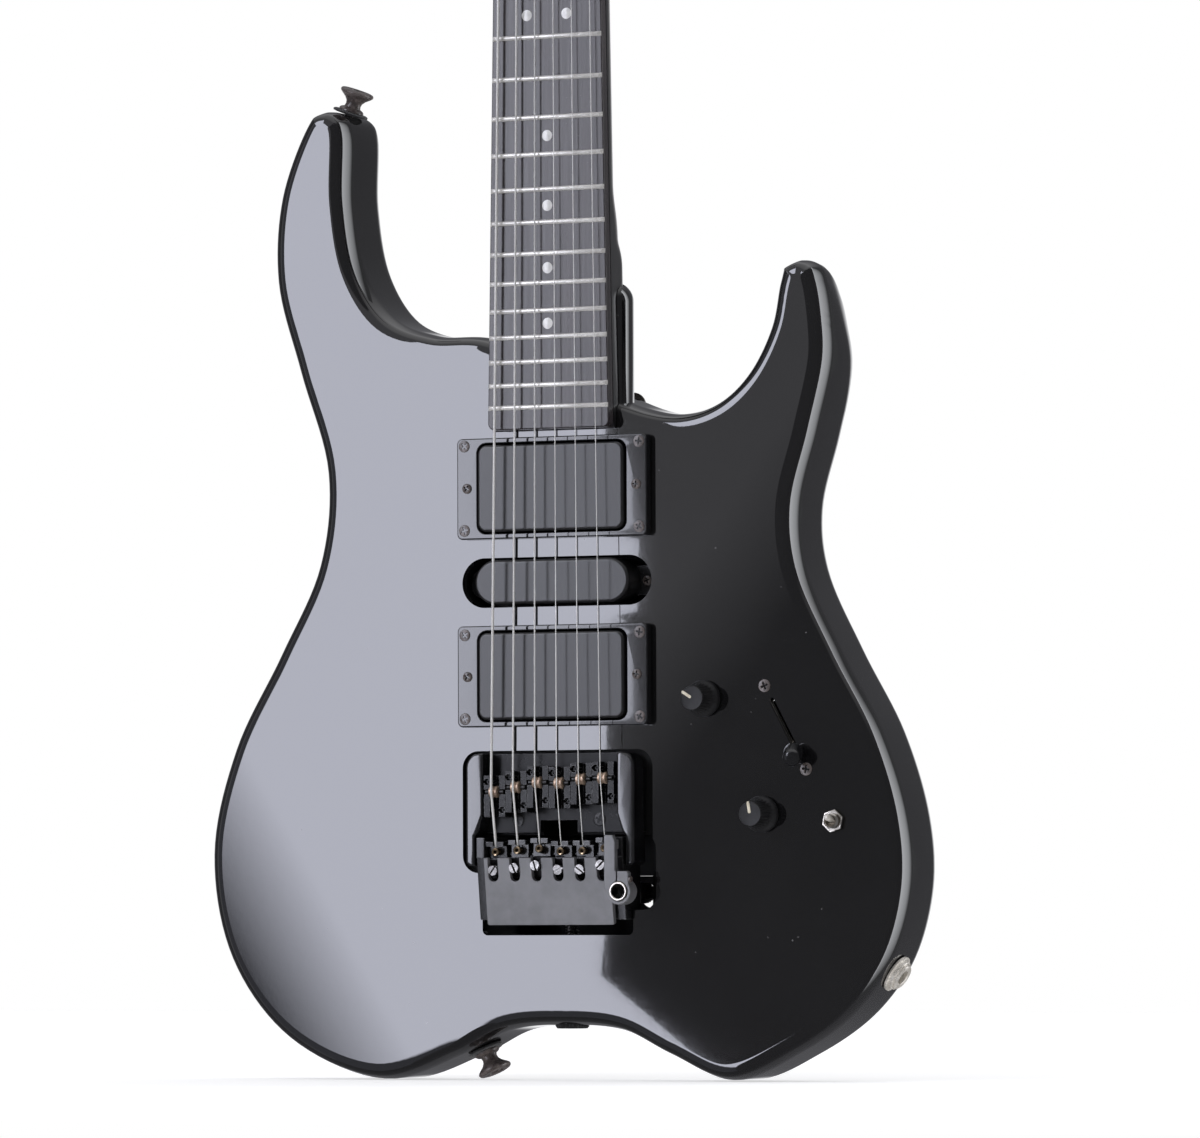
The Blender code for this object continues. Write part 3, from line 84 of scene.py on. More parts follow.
# sizes shared by several pieces, in metres
front = -0.042                      # the body's front face
scaleLength = 0.6477
saddleLine = -0.088
nutLine = saddleLine + scaleLength
bridgeSpread, nutSpread = 0.0525, 0.0365
boardTop, boardThickness = front - 0.0078, 0.0050
boardEnd, boardEndHalf, boardNarrowing = 0.0643, 0.0293, 0.0080
boardHeadEnd = nutLine + 0.0022
fretHeight = 0.0012
pocketFloor = 0.0135
headLength, headStep = 0.0270, 0.55
strings = 6
saddleSetbacks = (0.0057, 0.0038, 0.0018, 0.0022, 0.0006, 0.0002)
rollerTop = front - 0.0112
jawTilts = (6.0, 0.0, -6.0, 5.0, 4.0, -6.0)
pivot = Vector((0.0, front - 0.0010, -0.1210))
tunerLine = -0.1380
springY = front + 0.0145
toFront, toBack = (0.0, -1.0, 0.0), (0.0, 1.0, 0.0)


def mm(*values):
    # pairs of millimetres as pairs of metres
    return [(a / 1000, b / 1000) for a, b in zip(values[::2], values[1::2])]


def stringX(index, height):
    spread = bridgeSpread + (nutSpread - bridgeSpread) * (height - saddleLine) / scaleLength
    return spread * (index / (strings - 1) - 0.5)


def boardHalf(height):
    return boardEndHalf - boardNarrowing * (height - boardEnd) / (nutLine - boardEnd)


def fretLine(number):
    return nutLine - scaleLength * (1 - 2 ** (-number / 12))


def dotLine(number):
    return (fretLine(number) + fretLine(number - 1)) / 2


def link(tree, source, target):
    tree.links.new(source, target)


def feed(tree, value, socket):
    # links an output to a socket, or gives the socket a plain value
    if isinstance(value, bpy.types.NodeSocket):
        link(tree, value, socket)
    elif socket.type == "RGBA":
        socket.default_value = (*value, 1.0)
    else:
        socket.default_value = value


def newNode(tree, kind, inputs=None):
    # a shader node, its inputs given by name or number
    node = tree.nodes.new(f"ShaderNode{kind}")
    for key, value in (inputs or {}).items():
        feed(tree, value, node.inputs[key])
    return node


def mathNode(tree, operation, first, second=0.5, clamp=False):
    node = newNode(tree, "Math", {0: first, 1: second})
    node.operation = operation
    node.use_clamp = clamp
    return node.outputs[0]


def dotProduct(tree, first, second):
    node = newNode(tree, "VectorMath", {0: first, 1: second})
    node.operation = "DOT_PRODUCT"
    return node.outputs["Value"]


def mixColor(tree, share, first, second):
    node = newNode(tree, "Mix")
    node.data_type = "RGBA"
    for slot, value in ((0, share), (6, first), (7, second)):
        feed(tree, value, node.inputs[slot])
    return node.outputs[2]


def ramp(tree, value, low, high, kind="SMOOTHSTEP"):
    node = newNode(tree, "MapRange", {0: value, 1: low, 2: high})
    node.interpolation_type = kind
    return node.outputs[0]


def noiseNode(tree, vector, scale, detail=4.0, roughness=0.55):
    inputs = {"Vector": vector, "Scale": scale, "Detail": detail, "Roughness": roughness}
    return newNode(tree, "TexNoise", inputs).outputs[0]


def stretched(tree, stretch=(1.0, 1.0, 1.0), lean=0.0):
    place = newNode(tree, "TexCoord").outputs["Object"]
    inputs = {"Vector": place, "Rotation": (0.0, lean, 0.0), "Scale": stretch}
    return newNode(tree, "Mapping", inputs).outputs[0]


def addBump(tree, height, strength, distance):
    bump = newNode(tree, "Bump", {"Strength": strength, "Distance": distance, "Height": height})
    link(tree, bump.outputs[0], tree.nodes["Principled BSDF"].inputs["Normal"])


def makeGroup(name, inputs, outputs):
    # inputs are start values by label, outputs are kinds by label
    group = bpy.data.node_groups.new(name, "ShaderNodeTree")
    rows = []
    for label, start in inputs.items():
        kind = "Float" if isinstance(start, float) else "Vector" if len(start) == 3 else "Color"
        rows.append((label, "INPUT", kind))
    rows += [(label, "OUTPUT", kind) for label, kind in outputs.items()]
    for label, way, kind in rows:
        socket = group.interface.new_socket(
            name=label, in_out=way, socket_type=f"NodeSocket{kind}"
        )
        if way == "INPUT":
            socket.default_value = inputs[label]
    entry = group.nodes.new("NodeGroupInput")
    leave = group.nodes.new("NodeGroupOutput")
    return group, entry.outputs, leave.inputs


def makeMottleGroup():
    # two-tone colour, roughness that wanders, and a fine height
    inputs = {
        "Light Tone": (0.02, 0.02, 0.02, 1.0), "Dark Tone": (0.01, 0.01, 0.01, 1.0),
        "Scale": 60.0, "Stretch": (1.0, 1.0, 1.0), "Roughness": 0.4, "Spread": 0.1,
        "Grain Scale": 900.0,
    }
    outputs = {"Color": "Color", "Roughness": "Float", "Height": "Float"}
    group, given, result = makeGroup("Mottle", inputs, outputs)
    where = stretched(group, given["Stretch"])
    broad = noiseNode(group, where, given["Scale"], 5.0)
    fine = noiseNode(group, where, given["Grain Scale"], 2.0)
    tone = ramp(group, broad, 0.32, 0.68)
    link(group, mixColor(group, tone, given["Dark Tone"], given["Light Tone"]), result["Color"])
    swing = mathNode(group, "SUBTRACT", mathNode(group, "ADD", broad, fine), 1.0)
    wander = mathNode(group, "MULTIPLY", swing, given["Spread"])
    link(group, mathNode(group, "ADD", given["Roughness"], wander, True), result["Roughness"])
    link(group, fine, result["Height"])
    return group


def edgeMask(group, width):
    # 1 on rubbed outer edges, broken up by noise
    rounding = newNode(group, "Bevel", {"Radius": width})
    rounding.samples = 6
    flat = newNode(group, "NewGeometry").outputs["Normal"]
    turn = dotProduct(group, rounding.outputs[0], flat)
    bend = ramp(group, mathNode(group, "SUBTRACT", 1.0, turn), 0.015, 0.16)
    breaks = noiseNode(group, stretched(group), 420.0, 4.0, 0.7)
    return mathNode(group, "MULTIPLY", bend, ramp(group, breaks, 0.38, 0.62))


def dustMask(group, scale):
    # sparse specks of dust and lint
    where = stretched(group)
    cells = newNode(group, "TexVoronoi", {"Vector": where, "Scale": scale})
    speck = ramp(group, cells.outputs["Distance"], 0.075, 0.03)
    thin = ramp(group, noiseNode(group, where, 34.0, 3.0), 0.52, 0.66)
    return mathNode(group, "MULTIPLY", speck, thin)


def hairlineMask(group, scale):
    # hairlines of polishing and play, in two crossing directions
    lines = []
    for lean, stretch in ((0.35, (26.0, 26.0, 1.0)), (-0.8, (1.0, 26.0, 26.0))):
        wave = noiseNode(group, stretched(group, stretch, lean), scale, 3.0, 0.5)
        height = mathNode(group, "ABSOLUTE", mathNode(group, "SUBTRACT", wave, 0.5))
        lines.append(ramp(group, height, 0.012, 0.0))
    patchy = ramp(group, noiseNode(group, stretched(group), 22.0, 2.0), 0.5, 0.68)
    return mathNode(group, "MULTIPLY", mathNode(group, "MAXIMUM", *lines), patchy)


def makeMaskGroup(name, start, build):
    # Size is the rub's width or a pattern's scale
    inputs = {"Size": start, "Amount": 0.5}
    group, given, result = makeGroup(name, inputs, {"Mask": "Float"})
    mask = mathNode(group, "MULTIPLY", build(group, given["Size"]), given["Amount"], True)
    link(group, mask, result["Mask"])
    return group


mottleGroup = makeMottleGroup()
# the kinds of wear, each with what it adds to the roughness
wearKinds = {
    "lines": (makeMaskGroup("Hairlines", 60.0, hairlineMask), 0.25),
    "rub": (makeMaskGroup("Edge Rub", 0.0008, edgeMask), None),
    "dust": (makeMaskGroup("Dust", 160.0, dustMask), 0.5),
}
dustTone = (0.32, 0.31, 0.30)
shaderNames = {
    "metal": "Metallic", "ior": "IOR", "specular": "Specular IOR Level", "coat": "Coat Weight",
    "coatRough": "Coat Roughness", "sheen": "Sheen Weight",
}


def groupNode(tree, group, inputs):
    node = newNode(tree, "Group")
    node.node_tree = group
    for label, value in inputs.items():
        feed(tree, value, node.inputs[label])
    return node.outputs


def makeMaterial(name, look):
    # a look gives each kind of wear as a size, an amount and, but for dust, a tone
    finish = bpy.data.materials.new(name)
    finish.use_nodes = True
    tree = finish.node_tree
    shader = tree.nodes["Principled BSDF"]
    mottle = groupNode(tree, mottleGroup, {
        "Light Tone": look["light"], "Dark Tone": look["dark"], "Scale": look["scale"],
        "Stretch": look.get("stretch", (1.0, 1.0, 1.0)), "Roughness": look["rough"],
        "Spread": look["spread"], "Grain Scale": look.get("grain", 900.0),
    })
    color, rough = mottle["Color"], mottle["Roughness"]
    for key, (group, matt) in wearKinds.items():
        if key not in look:
            continue
        size, amount, tone = (*look[key], dustTone)[:3]
        mask = groupNode(tree, group, {"Size": size, "Amount": amount})["Mask"]
        color = mixColor(tree, mask, color, tone)
        if matt:
            rough = mathNode(tree, "ADD", rough, mathNode(tree, "MULTIPLY", mask, matt), True)
    link(tree, color, shader.inputs["Base Color"])
    link(tree, rough, shader.inputs["Roughness"])
    for key, label in shaderNames.items():
        if key in look:
            shader.inputs[label].default_value = look[key]
    addBump(tree, mottle["Height"], look["bump"], look["depth"])
    return finish


# where the routs lie, how matt the lacquer turns there, and the near-black tone of the painted
# shade inside them
routShadeAndMatt = {
    "half": 0.0484, "middle": -0.0472, "reach": 0.1096, "front": front + 0.0034,
    "frontFade": 0.0012, "back": -0.0006, "fade": 0.0004, "backFade": 0.0002,
    "tone": (0.003, 0.003, 0.003), "rough": 0.62,
}


def shadeAndDullInside(finish):
    # inside the routs the lacquer is matt: no clear coat and a rough base, whose colour goes near
    # black as painted shade deep in the routs
    look, tree = routShadeAndMatt, finish.node_tree
    shader = tree.nodes["Principled BSDF"]
    where = newNode(tree, "TexCoord").outputs["Object"]
    x, y, z = newNode(tree, "SeparateXYZ", {0: where}).outputs
    aside = mathNode(tree, "ABSOLUTE", x)
    along = mathNode(tree, "ABSOLUTE", mathNode(tree, "ADD", z, -look["middle"]))
    limits = (
        (aside, look["half"] + look["fade"], look["half"]),
        (along, look["reach"] + look["fade"], look["reach"]),
        (y, look["front"], look["front"] + look["frontFade"]),
        (y, look["back"] + look["backFade"], look["back"]),
    )
    inside = None
    for value, outer, inner in limits:
        step = ramp(tree, value, outer, inner)
        inside = step if inside is None else mathNode(tree, "MULTIPLY", inside, step)
    color, rough = (shader.inputs[key].links[0].from_socket for key in ("Base Color", "Roughness"))
    # painted shade: inside the routs the base colour goes near black
    link(tree, mixColor(tree, inside, color, look["tone"]), shader.inputs["Base Color"])
    matt = mathNode(tree, "MULTIPLY", inside, look["rough"])
    link(tree, mathNode(tree, "MAXIMUM", rough, matt), shader.inputs["Roughness"])
    link(tree, mathNode(tree, "SUBTRACT", 1.0, inside), shader.inputs["Coat Weight"])


def makeWoundFinish(plain):
    # steel wrap: fine turns along the string in bump, with painted shade darkening the colour in
    # the grooves between turns
    finish = plain.copy()
    finish.name = "string_wound"
    tree = finish.node_tree
    inputs = {"Vector": stretched(tree), "Scale": 1250.0, "Distortion": 0.15}
    turns = newNode(tree, "TexWave", inputs)
    turns.bands_direction = "Z"
    turns = turns.outputs["Fac"]
    addBump(tree, turns, 0.22, 0.00006)
    target = tree.nodes["Principled BSDF"].inputs["Base Color"]
    source = target.links[0].from_socket
    # painted shade in the grooves between the turns
    link(tree, mixColor(tree, ramp(tree, turns, 0.25, 0.0), source, (0.16, 0.15, 0.14)), target)
    return finish


# what several looks share
pitch = dict(light=(0.010, 0.010, 0.011), dark=(0.005, 0.005, 0.006))
blackMetal = dict(slot="bridge_black", scale=90.0, grain=2100.0, depth=0.00008)
screwMetal = dict(slot="bridge_black", scale=360.0, grain=2200.0, bump=0.10, depth=0.00005)
plating = dict(
    slot="nickel", scale=240.0, spread=0.12, grain=1800.0, bump=0.06, depth=0.00005,
    lines=(260.0, 0.2, (0.36, 0.34, 0.30)),
)
looks = {
    "black_lacquer": dict(
        slot="gloss_black", light=(0.0065, 0.0063, 0.0068), dark=(0.0042, 0.0041, 0.0046),
        scale=14.0, rough=0.032, spread=0.015, grain=320.0, bump=0.008, depth=0.0003,
        coat=1.0, coatRough=0.012, lines=(46.0, 0.05, (0.05, 0.05, 0.052)), dust=(150.0, 0.35),
    ),
    "neck_satin": dict(
        slot="neck_composite", light=(0.020, 0.019, 0.020), dark=(0.012, 0.012, 0.013),
        scale=40.0, stretch=(1.0, 1.0, 0.2), rough=0.30, spread=0.08, bump=0.06, depth=0.0002,
        rub=(0.0008, 0.25, (0.06, 0.06, 0.06)), coat=0.35, coatRough=0.16,
    ),
    "board_phenolic": dict(
        slot="board_black", light=(0.052, 0.044, 0.047), dark=(0.024, 0.020, 0.022),
        scale=190.0, stretch=(1.0, 1.0, 0.035), rough=0.24, spread=0.14, grain=700.0,
        bump=0.10, depth=0.00012, lines=(120.0, 0.12, (0.09, 0.085, 0.085)),
        dust=(230.0, 0.12), ior=1.6,
    ),
    "fret_wire": dict(
        slot="nickel", light=(0.92, 0.90, 0.86), dark=(0.72, 0.70, 0.67), scale=260.0,
        stretch=(0.15, 1.0, 1.0), rough=0.26, spread=0.12, grain=2600.0, bump=0.08,
        depth=0.00005, metal=0.4, lines=(240.0, 0.35, (0.42, 0.40, 0.38)),
    ),
    "dot_pearl": dict(
        slot="nickel", light=(0.86, 0.85, 0.82), dark=(0.70, 0.69, 0.67), scale=420.0,
        rough=0.22, spread=0.08, grain=1500.0, bump=0.05, depth=0.00005, coat=0.5,
    ),
    "string_plain": dict(
        slot="string_steel", light=(0.96, 0.95, 0.92), dark=(0.84, 0.83, 0.80), scale=220.0,
        stretch=(1.0, 1.0, 0.05), rough=0.30, spread=0.08, bump=0.03, depth=0.00003, metal=0.08,
    ),
    "pickup_shell": dict(
        slot="pickup_satin", light=(0.014, 0.0135, 0.014), dark=(0.008, 0.008, 0.0085),
        scale=30.0, rough=0.31, spread=0.05, grain=2400.0, bump=0.05, depth=0.00006,
        rub=(0.0008, 0.22, (0.10, 0.10, 0.10)), dust=(260.0, 0.25),
        lines=(150.0, 0.08, (0.06, 0.06, 0.06)), ior=1.55, coat=0.4, coatRough=0.27,
    ),
    "ring_gloss": dict(
        pitch, slot="ring_gloss", scale=26.0, rough=0.10, spread=0.05, grain=600.0, bump=0.03,
        depth=0.0002, coat=0.55, coatRough=0.03, rub=(0.0006, 0.25, (0.16, 0.16, 0.17)),
        dust=(210.0, 0.25), lines=(110.0, 0.10, (0.06, 0.06, 0.06)),
    ),
    "bridge_black": dict(
        blackMetal, light=(0.016, 0.016, 0.017), dark=(0.008, 0.008, 0.009), rough=0.22,
        spread=0.12, bump=0.12, rub=(0.0007, 0.75, (0.34, 0.34, 0.35)), dust=(300.0, 0.3),
        coat=0.15, coatRough=0.10,
    ),
    "frame_floor_black": dict(
        blackMetal | pitch, rough=0.30, spread=0.14, bump=0.16,
        rub=(0.0006, 0.7, (0.26, 0.26, 0.27)), dust=(300.0, 0.4), specular=0.26,
    ),
    "cast_gloss_black": dict(
        blackMetal | pitch, rough=0.16, spread=0.08, bump=0.06, depth=0.00006,
        rub=(0.0006, 0.55, (0.26, 0.26, 0.27)), dust=(300.0, 0.3), coat=0.9, coatRough=0.045,
    ),
    "saddle_black": dict(
        blackMetal, light=(0.007, 0.007, 0.008), dark=(0.004, 0.004, 0.0045), scale=120.0,
        rough=0.27, spread=0.12, bump=0.12, rub=(0.0004, 0.8, (0.30, 0.30, 0.31)),
        dust=(300.0, 0.3), specular=0.36,
    ),
    "tail_plate_black": dict(
        blackMetal, light=(0.190, 0.190, 0.200), dark=(0.132, 0.132, 0.139), scale=70.0,
        rough=0.36, spread=0.10, grain=2600.0, bump=0.20,
        rub=(0.0006, 0.6, (0.32, 0.32, 0.33)), dust=(340.0, 0.35), ior=1.8,
    ),
    "roller_bronze": dict(
        slot="roller_brass", light=(0.66, 0.50, 0.38), dark=(0.42, 0.30, 0.22), scale=380.0,
        rough=0.36, spread=0.14, grain=2400.0, bump=0.10, depth=0.00004, metal=0.7,
        rub=(0.0003, 0.4, (0.62, 0.48, 0.38)),
    ),
    "ball_brass": dict(
        slot="roller_brass", light=(0.60, 0.46, 0.30), dark=(0.30, 0.22, 0.14), scale=420.0,
        rough=0.26, spread=0.14, grain=2600.0, bump=0.10, depth=0.00004, metal=1.0,
    ),
    "screw_steel": dict(
        slot="nickel", light=(0.36, 0.35, 0.34), dark=(0.17, 0.165, 0.16), scale=300.0,
        rough=0.26, spread=0.16, grain=2400.0, bump=0.10, depth=0.00005, metal=1.0,
        rub=(0.0003, 0.6, (0.80, 0.79, 0.77)),
    ),
    "screw_black": dict(
        screwMetal, light=(0.150, 0.125, 0.116), dark=(0.066, 0.054, 0.050), rough=0.28,
        spread=0.16, rub=(0.00010, 0.6, (0.44, 0.36, 0.33)), coat=0.2, coatRough=0.12,
    ),
    "bolt_black": dict(
        screwMetal, light=(0.016, 0.015, 0.015), dark=(0.006, 0.006, 0.006), rough=0.30,
        spread=0.14, rub=(0.00008, 0.4, (0.16, 0.15, 0.15)),
    ),
    "nickel_plate": dict(
        plating, light=(0.74, 0.70, 0.64), dark=(0.50, 0.47, 0.42), rough=0.20, metal=1.0,
        rub=(0.0003, 0.3, (0.88, 0.85, 0.80)),
    ),
    "bright_nickel": dict(
        plating, light=(0.86, 0.82, 0.75), dark=(0.62, 0.58, 0.52), rough=0.26, metal=0.35,
        rub=(0.0003, 0.3, (0.92, 0.89, 0.84)),
    ),
    "knob_plastic": dict(
        slot="knob_black", light=(0.026, 0.026, 0.027), dark=(0.014, 0.014, 0.015),
        scale=120.0, rough=0.44, spread=0.10, grain=2600.0, bump=0.20, depth=0.00008,
        rub=(0.0006, 0.35, (0.10, 0.10, 0.10)), dust=(420.0, 0.3), specular=0.36,
    ),
    "switch_tip_plastic": dict(
        slot="knob_black", light=(0.008, 0.008, 0.009), dark=(0.004, 0.004, 0.005),
        scale=80.0, rough=0.12, spread=0.05, bump=0.04, depth=0.0001, coat=0.7,
        coatRough=0.05, dust=(420.0, 0.2),
    ),
    "pointer_ivory": dict(
        slot="knob_black", light=(0.84, 0.78, 0.62), dark=(0.68, 0.61, 0.46), scale=420.0,
        rough=0.38, spread=0.10, grain=2400.0, bump=0.10, depth=0.00005,
    ),
    "felt_fibre": dict(
        slot="felt_black", light=(0.024, 0.024, 0.025), dark=(0.010, 0.010, 0.011),
        scale=900.0, rough=0.92, spread=0.08, grain=5200.0, bump=0.9, depth=0.0002, sheen=0.35,
    ),
    "cover_plastic": dict(
        slot="pickup_satin", light=(0.016, 0.016, 0.017), dark=(0.009, 0.009, 0.010),
        scale=40.0, rough=0.38, spread=0.08, grain=1500.0, bump=0.25, depth=0.0001,
        lines=(90.0, 0.12, (0.06, 0.06, 0.06)),
    ),
}
finishes = {name: makeMaterial(name, look) for name, look in looks.items()}
shadeAndDullInside(finishes["black_lacquer"])
finishes["string_wound"] = makeWoundFinish(finishes["string_plain"])
looks["string_wound"] = looks["string_plain"]
print("materials made")


def newObject(name, data):
    item = bpy.data.objects.new(name, data)
    bpy.context.scene.collection.objects.link(item)
    return item


def finished(name, mesh, finish, smooth=40.0, slot=None):
    # edges that turn by more than smooth degrees stay sharp
    mesh.name = name
    mesh.materials.clear()
    mesh.materials.append(finishes[finish])
    mesh.shade_smooth()
    mesh.set_sharp_from_angle(angle=math.radians(smooth))
    item = newObject(name, mesh)
    slot or looks[finish]["slot"]
    return item


def place(name, mesh, finish, body="guitar", node=None, smooth=40.0, slot=None):
    # a piece that moves with a body, and may stand for a CAD node
    item = finished(name, mesh, finish, smooth, slot)
    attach(item, body)
    if node:
        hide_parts(node)
    return item


def weighted(item):
    # flat faces keep a flat look beside their rounded edges
    step = item.modifiers.new("flat_faces", "WEIGHTED_NORMAL")
    step.keep_sharp = True
    step.weight = 80


def repaint(node, finish):
    materials = frame["nodes"][node].data.materials
    materials.clear()
    materials.append(finishes[finish])


def meshOf(shape, outward=False):
    if outward:
        bmesh.ops.recalc_face_normals(shape, faces=shape.faces)
    mesh = bpy.data.meshes.new("mesh")
    shape.to_mesh(mesh)
    shape.free()
    return mesh


weldDistance = 0.000002
circleSteps = 32


def weld(mesh):
    shape = bmesh.new()
    shape.from_mesh(mesh)
    bmesh.ops.remove_doubles(shape, verts=shape.verts, dist=weldDistance)
    bmesh.ops.recalc_face_normals(shape, faces=shape.faces)
    shape.to_mesh(mesh)
    shape.free()
    return mesh


def evaluated(holder, *helpers):
    # the mesh that an object's curves or modifiers make
    bpy.context.view_layer.update()
    graph = bpy.context.evaluated_depsgraph_get()
    mesh = bpy.data.meshes.new_from_object(holder.evaluated_get(graph))
    for item in (holder, *helpers):
        bpy.data.objects.remove(item, do_unlink=True)
    return mesh


def stitch(shape, rings, closed=False, caps=False):
    # faces from each ring of points to the next; a ring may be a single point
    pairs = list(zip(rings, rings[1:]))
    if closed:
        pairs.append((rings[-1], rings[0]))
    for lower, upper in pairs:
        count = max(len(lower), len(upper))
        for k in range(count):
            after = (k + 1) % count
            corners = lower[:1] if len(lower) == 1 else [lower[k], lower[after]]
            corners += upper[:1] if len(upper) == 1 else [upper[after], upper[k]]
            shape.faces.new(corners)
    if caps:
        shape.faces.new(rings[0])
        shape.faces.new(rings[-1])


def rounded(points, radius, steps=5):
    # a closed loop whose corners are arcs
    corners = [Vector(point) for point in points]
    result = []
    for index, corner in enumerate(corners):
        back = (corners[index - 1] - corner).normalized()
        ahead = (corners[(index + 1) % len(corners)] - corner).normalized()
        half = back.angle(ahead) / 2
        reach = radius / math.tan(half)
        middle = corner + (back + ahead).normalized() * (radius / math.sin(half))
        first = corner + back * reach - middle
        last = corner + ahead * reach - middle
        for step in range(steps + 1):
            arm = first.lerp(last, step / steps).normalized() * radius
            result.append(tuple(middle + arm))
    return result


def rectangle(left, right, low, high):
    return [(left, low), (right, low), (right, high), (left, high)]


def roundedBox(x, z, width, length, radius, steps=6):
    sides = rectangle(x - width / 2, x + width / 2, z - length / 2, z + length / 2)
    return rounded(sides, radius, steps)


def arc(x, z, radius, count, steps, turned=0.0):
    # count points of a circle cut in steps
    angles = [turned + math.tau * k / steps for k in range(count)]
    return [(x + radius * math.cos(angle), z + radius * math.sin(angle)) for angle in angles]


def circle(x, z, radius):
    return arc(x, z, radius, circleSteps, circleSteps)


def alongY(depth):
    return Matrix.Translation((0, depth, 0)) @ Matrix.Rotation(math.pi / 2, 4, "X")


def filled(curve, paths, closed):
    # the mesh of a curve with one straight-sided spline for each path
    for path in paths:
        spline = curve.splines.new("POLY")
        spline.points.add(len(path) - 1)
        for point, spot in zip(spline.points, path):
            point.co = (*spot, 1.0)
        spline.use_cyclic_u = closed
    mesh = evaluated(newObject("holder", curve))
    bpy.data.curves.remove(curve)
    return weld(mesh)


def plate(loops, matrix, thickness, edge=0.0, edgeSteps=2, offset=0.0):
    curve = bpy.data.curves.new("plate", "CURVE")
    curve.dimensions = "2D"
    curve.fill_mode = "BOTH"
    curve.extrude = thickness / 2 - edge
    curve.bevel_depth = edge
    curve.bevel_resolution = edgeSteps
    curve.offset = offset - edge
    mesh = filled(curve, [[(x, z, 0.0) for x, z in loop] for loop in loops], True)
    mesh.transform(matrix)
    return mesh


def frontPlate(loops, height, depth, edge=0.0, edgeSteps=2, offset=0.0):
    # from a height above the body's front face to a depth below it
    matrix = alongY(front + (depth - height) / 2)
    return plate(loops, matrix, depth + height, edge, edgeSteps, offset)


def sidePlate(loop, left, right, edge):
    # a loop of (y, z) pairs, from left to right
    turn = Matrix(((0, 0, 1, 0), (1, 0, 0, 0), (0, 1, 0, 0), (0, 0, 0, 1)))
    return plate([loop], Matrix.Translation(((left + right) / 2, 0, 0)) @ turn, right - left, edge)


def wire(path, radius):
    curve = bpy.data.curves.new("wire", "CURVE")
    curve.dimensions = "3D"
    curve.bevel_depth = radius
    curve.bevel_resolution = 3
    curve.use_fill_caps = True
    return filled(curve, [path], False)


def block(low, high, edge=0.0):
    # a box with rounded edges
    shape = bmesh.new()
    bmesh.ops.create_cube(shape, size=1.0)
    low, high = Vector(low), Vector(high)
    matrix = Matrix.Translation((low + high) / 2) @ Matrix.Diagonal((*(high - low), 1.0))
    bmesh.ops.transform(shape, matrix=matrix, verts=shape.verts)
    if edge:
        bmesh.ops.bevel(
            shape, geom=shape.edges[:], offset=edge, segments=2, profile=0.5, affect="EDGES"
        )
    return meshOf(shape)


def lathe(profile, steps=40, closed=False, flutes=None):
    # turns (radius, height) pairs about Z; flutes are a count, a depth, and first and last row
    count, depth, first, last = flutes or (0, 0.0, 0, -1)
    shape = bmesh.new()
    rows = []
    for number, (radius, height) in enumerate(profile):
        row = []
        for k in range(steps if radius else 1):
            angle = math.tau * k / steps
            wave = 0.5 - 0.5 * math.cos(count * angle)
            reach = radius - (depth * wave ** 2 if first <= number <= last else 0.0)
            spot = (reach * math.cos(angle), reach * math.sin(angle), height)
            row.append(shape.verts.new(spot))
        rows.append(row)
    stitch(shape, rows, closed)
    return meshOf(shape, True)


def rod(start, end, radius, steps=24):
    start, end = Vector(start), Vector(end)
    turn = (end - start).to_track_quat("Z", "Y").to_matrix().to_4x4()
    shape = bmesh.new()
    bmesh.ops.create_cone(
        shape, cap_ends=True, segments=steps, radius1=radius, radius2=radius,
        depth=(end - start).length, matrix=Matrix.Translation((start + end) / 2) @ turn,
    )
    return meshOf(shape)


def joined(meshes):
    shape = bmesh.new()
    for mesh in meshes:
        shape.from_mesh(mesh)
    return meshOf(shape)


def aimed(mesh, spot, direction=toFront, spin=0.0):
    # moves a mesh so that its Z axis points from spot along a direction
    turn = Vector(direction).to_track_quat("Z", "Y").to_matrix().to_4x4()
    mesh.transform(Matrix.Translation(spot) @ turn @ Matrix.Rotation(spin, 4, "Z"))
    return mesh


def boolean(mesh, tools, operation="DIFFERENCE"):
    # applies each tool mesh in turn
    holder = newObject("holder", mesh)
    helpers = [newObject("tool", tool) for tool in tools]
    for helper in helpers:
        step = holder.modifiers.new("step", "BOOLEAN")
        step.operation = operation
        step.solver = "EXACT"
        step.object = helper
    return evaluated(holder, *helpers)


def softened(mesh, width, angle, segments, keep=None):
    # rounds the edges that turn by more than angle degrees; keep(edge) picks among them
    shape = bmesh.new()
    shape.from_mesh(mesh)
    bmesh.ops.remove_doubles(shape, verts=shape.verts, dist=weldDistance)
    level = math.radians(0.02)
    bmesh.ops.dissolve_limit(shape, angle_limit=level, verts=shape.verts, edges=shape.edges)
    sharp = [
        edge for edge in shape.edges
        if len(edge.link_faces) == 2
        and edge.calc_face_angle(0.0) > math.radians(angle)
        and (keep is None or keep(edge))
    ]
    bmesh.ops.bevel(
        shape, geom=sharp, offset=width, segments=segments, profile=0.5,
        affect="EDGES", clamp_overlap=True,
    )
    shape.to_mesh(mesh)
    shape.free()
    return mesh


def cutHead(rows, radius, height, steps, tools):
    # a screw head along Z: rows are shares of its radius and height, tools cut its recess
    profile = [(radius * out, height * up) for out, up in rows]
    return weld(boolean(lathe(profile, steps), tools))


def crossHead(radius, height, countersunk=True):
    # it is seated at 0 and its top stands at height
    foot = -radius * 0.95 / height
    if countersunk:
        rows = ((0, foot), (0.5, foot), (1, 0), (1, 0.5), (0.93, 0.85), (0.7, 1), (0, 1.02))
    else:
        rows = ((0, foot), (0.8, foot), (1, 0), (1, 0.45), (0.88, 0.8), (0.62, 1), (0, 1.04))
    arm, thin, deep = radius * 0.64, radius * 0.17, height - radius * 0.92
    return cutHead(rows, radius, height, 36, [
        block((-arm, -thin, deep), (arm, thin, height + 0.001)),
        block((-thin, -arm, deep + 0.00002), (thin, arm, height + 0.0011)),
    ])


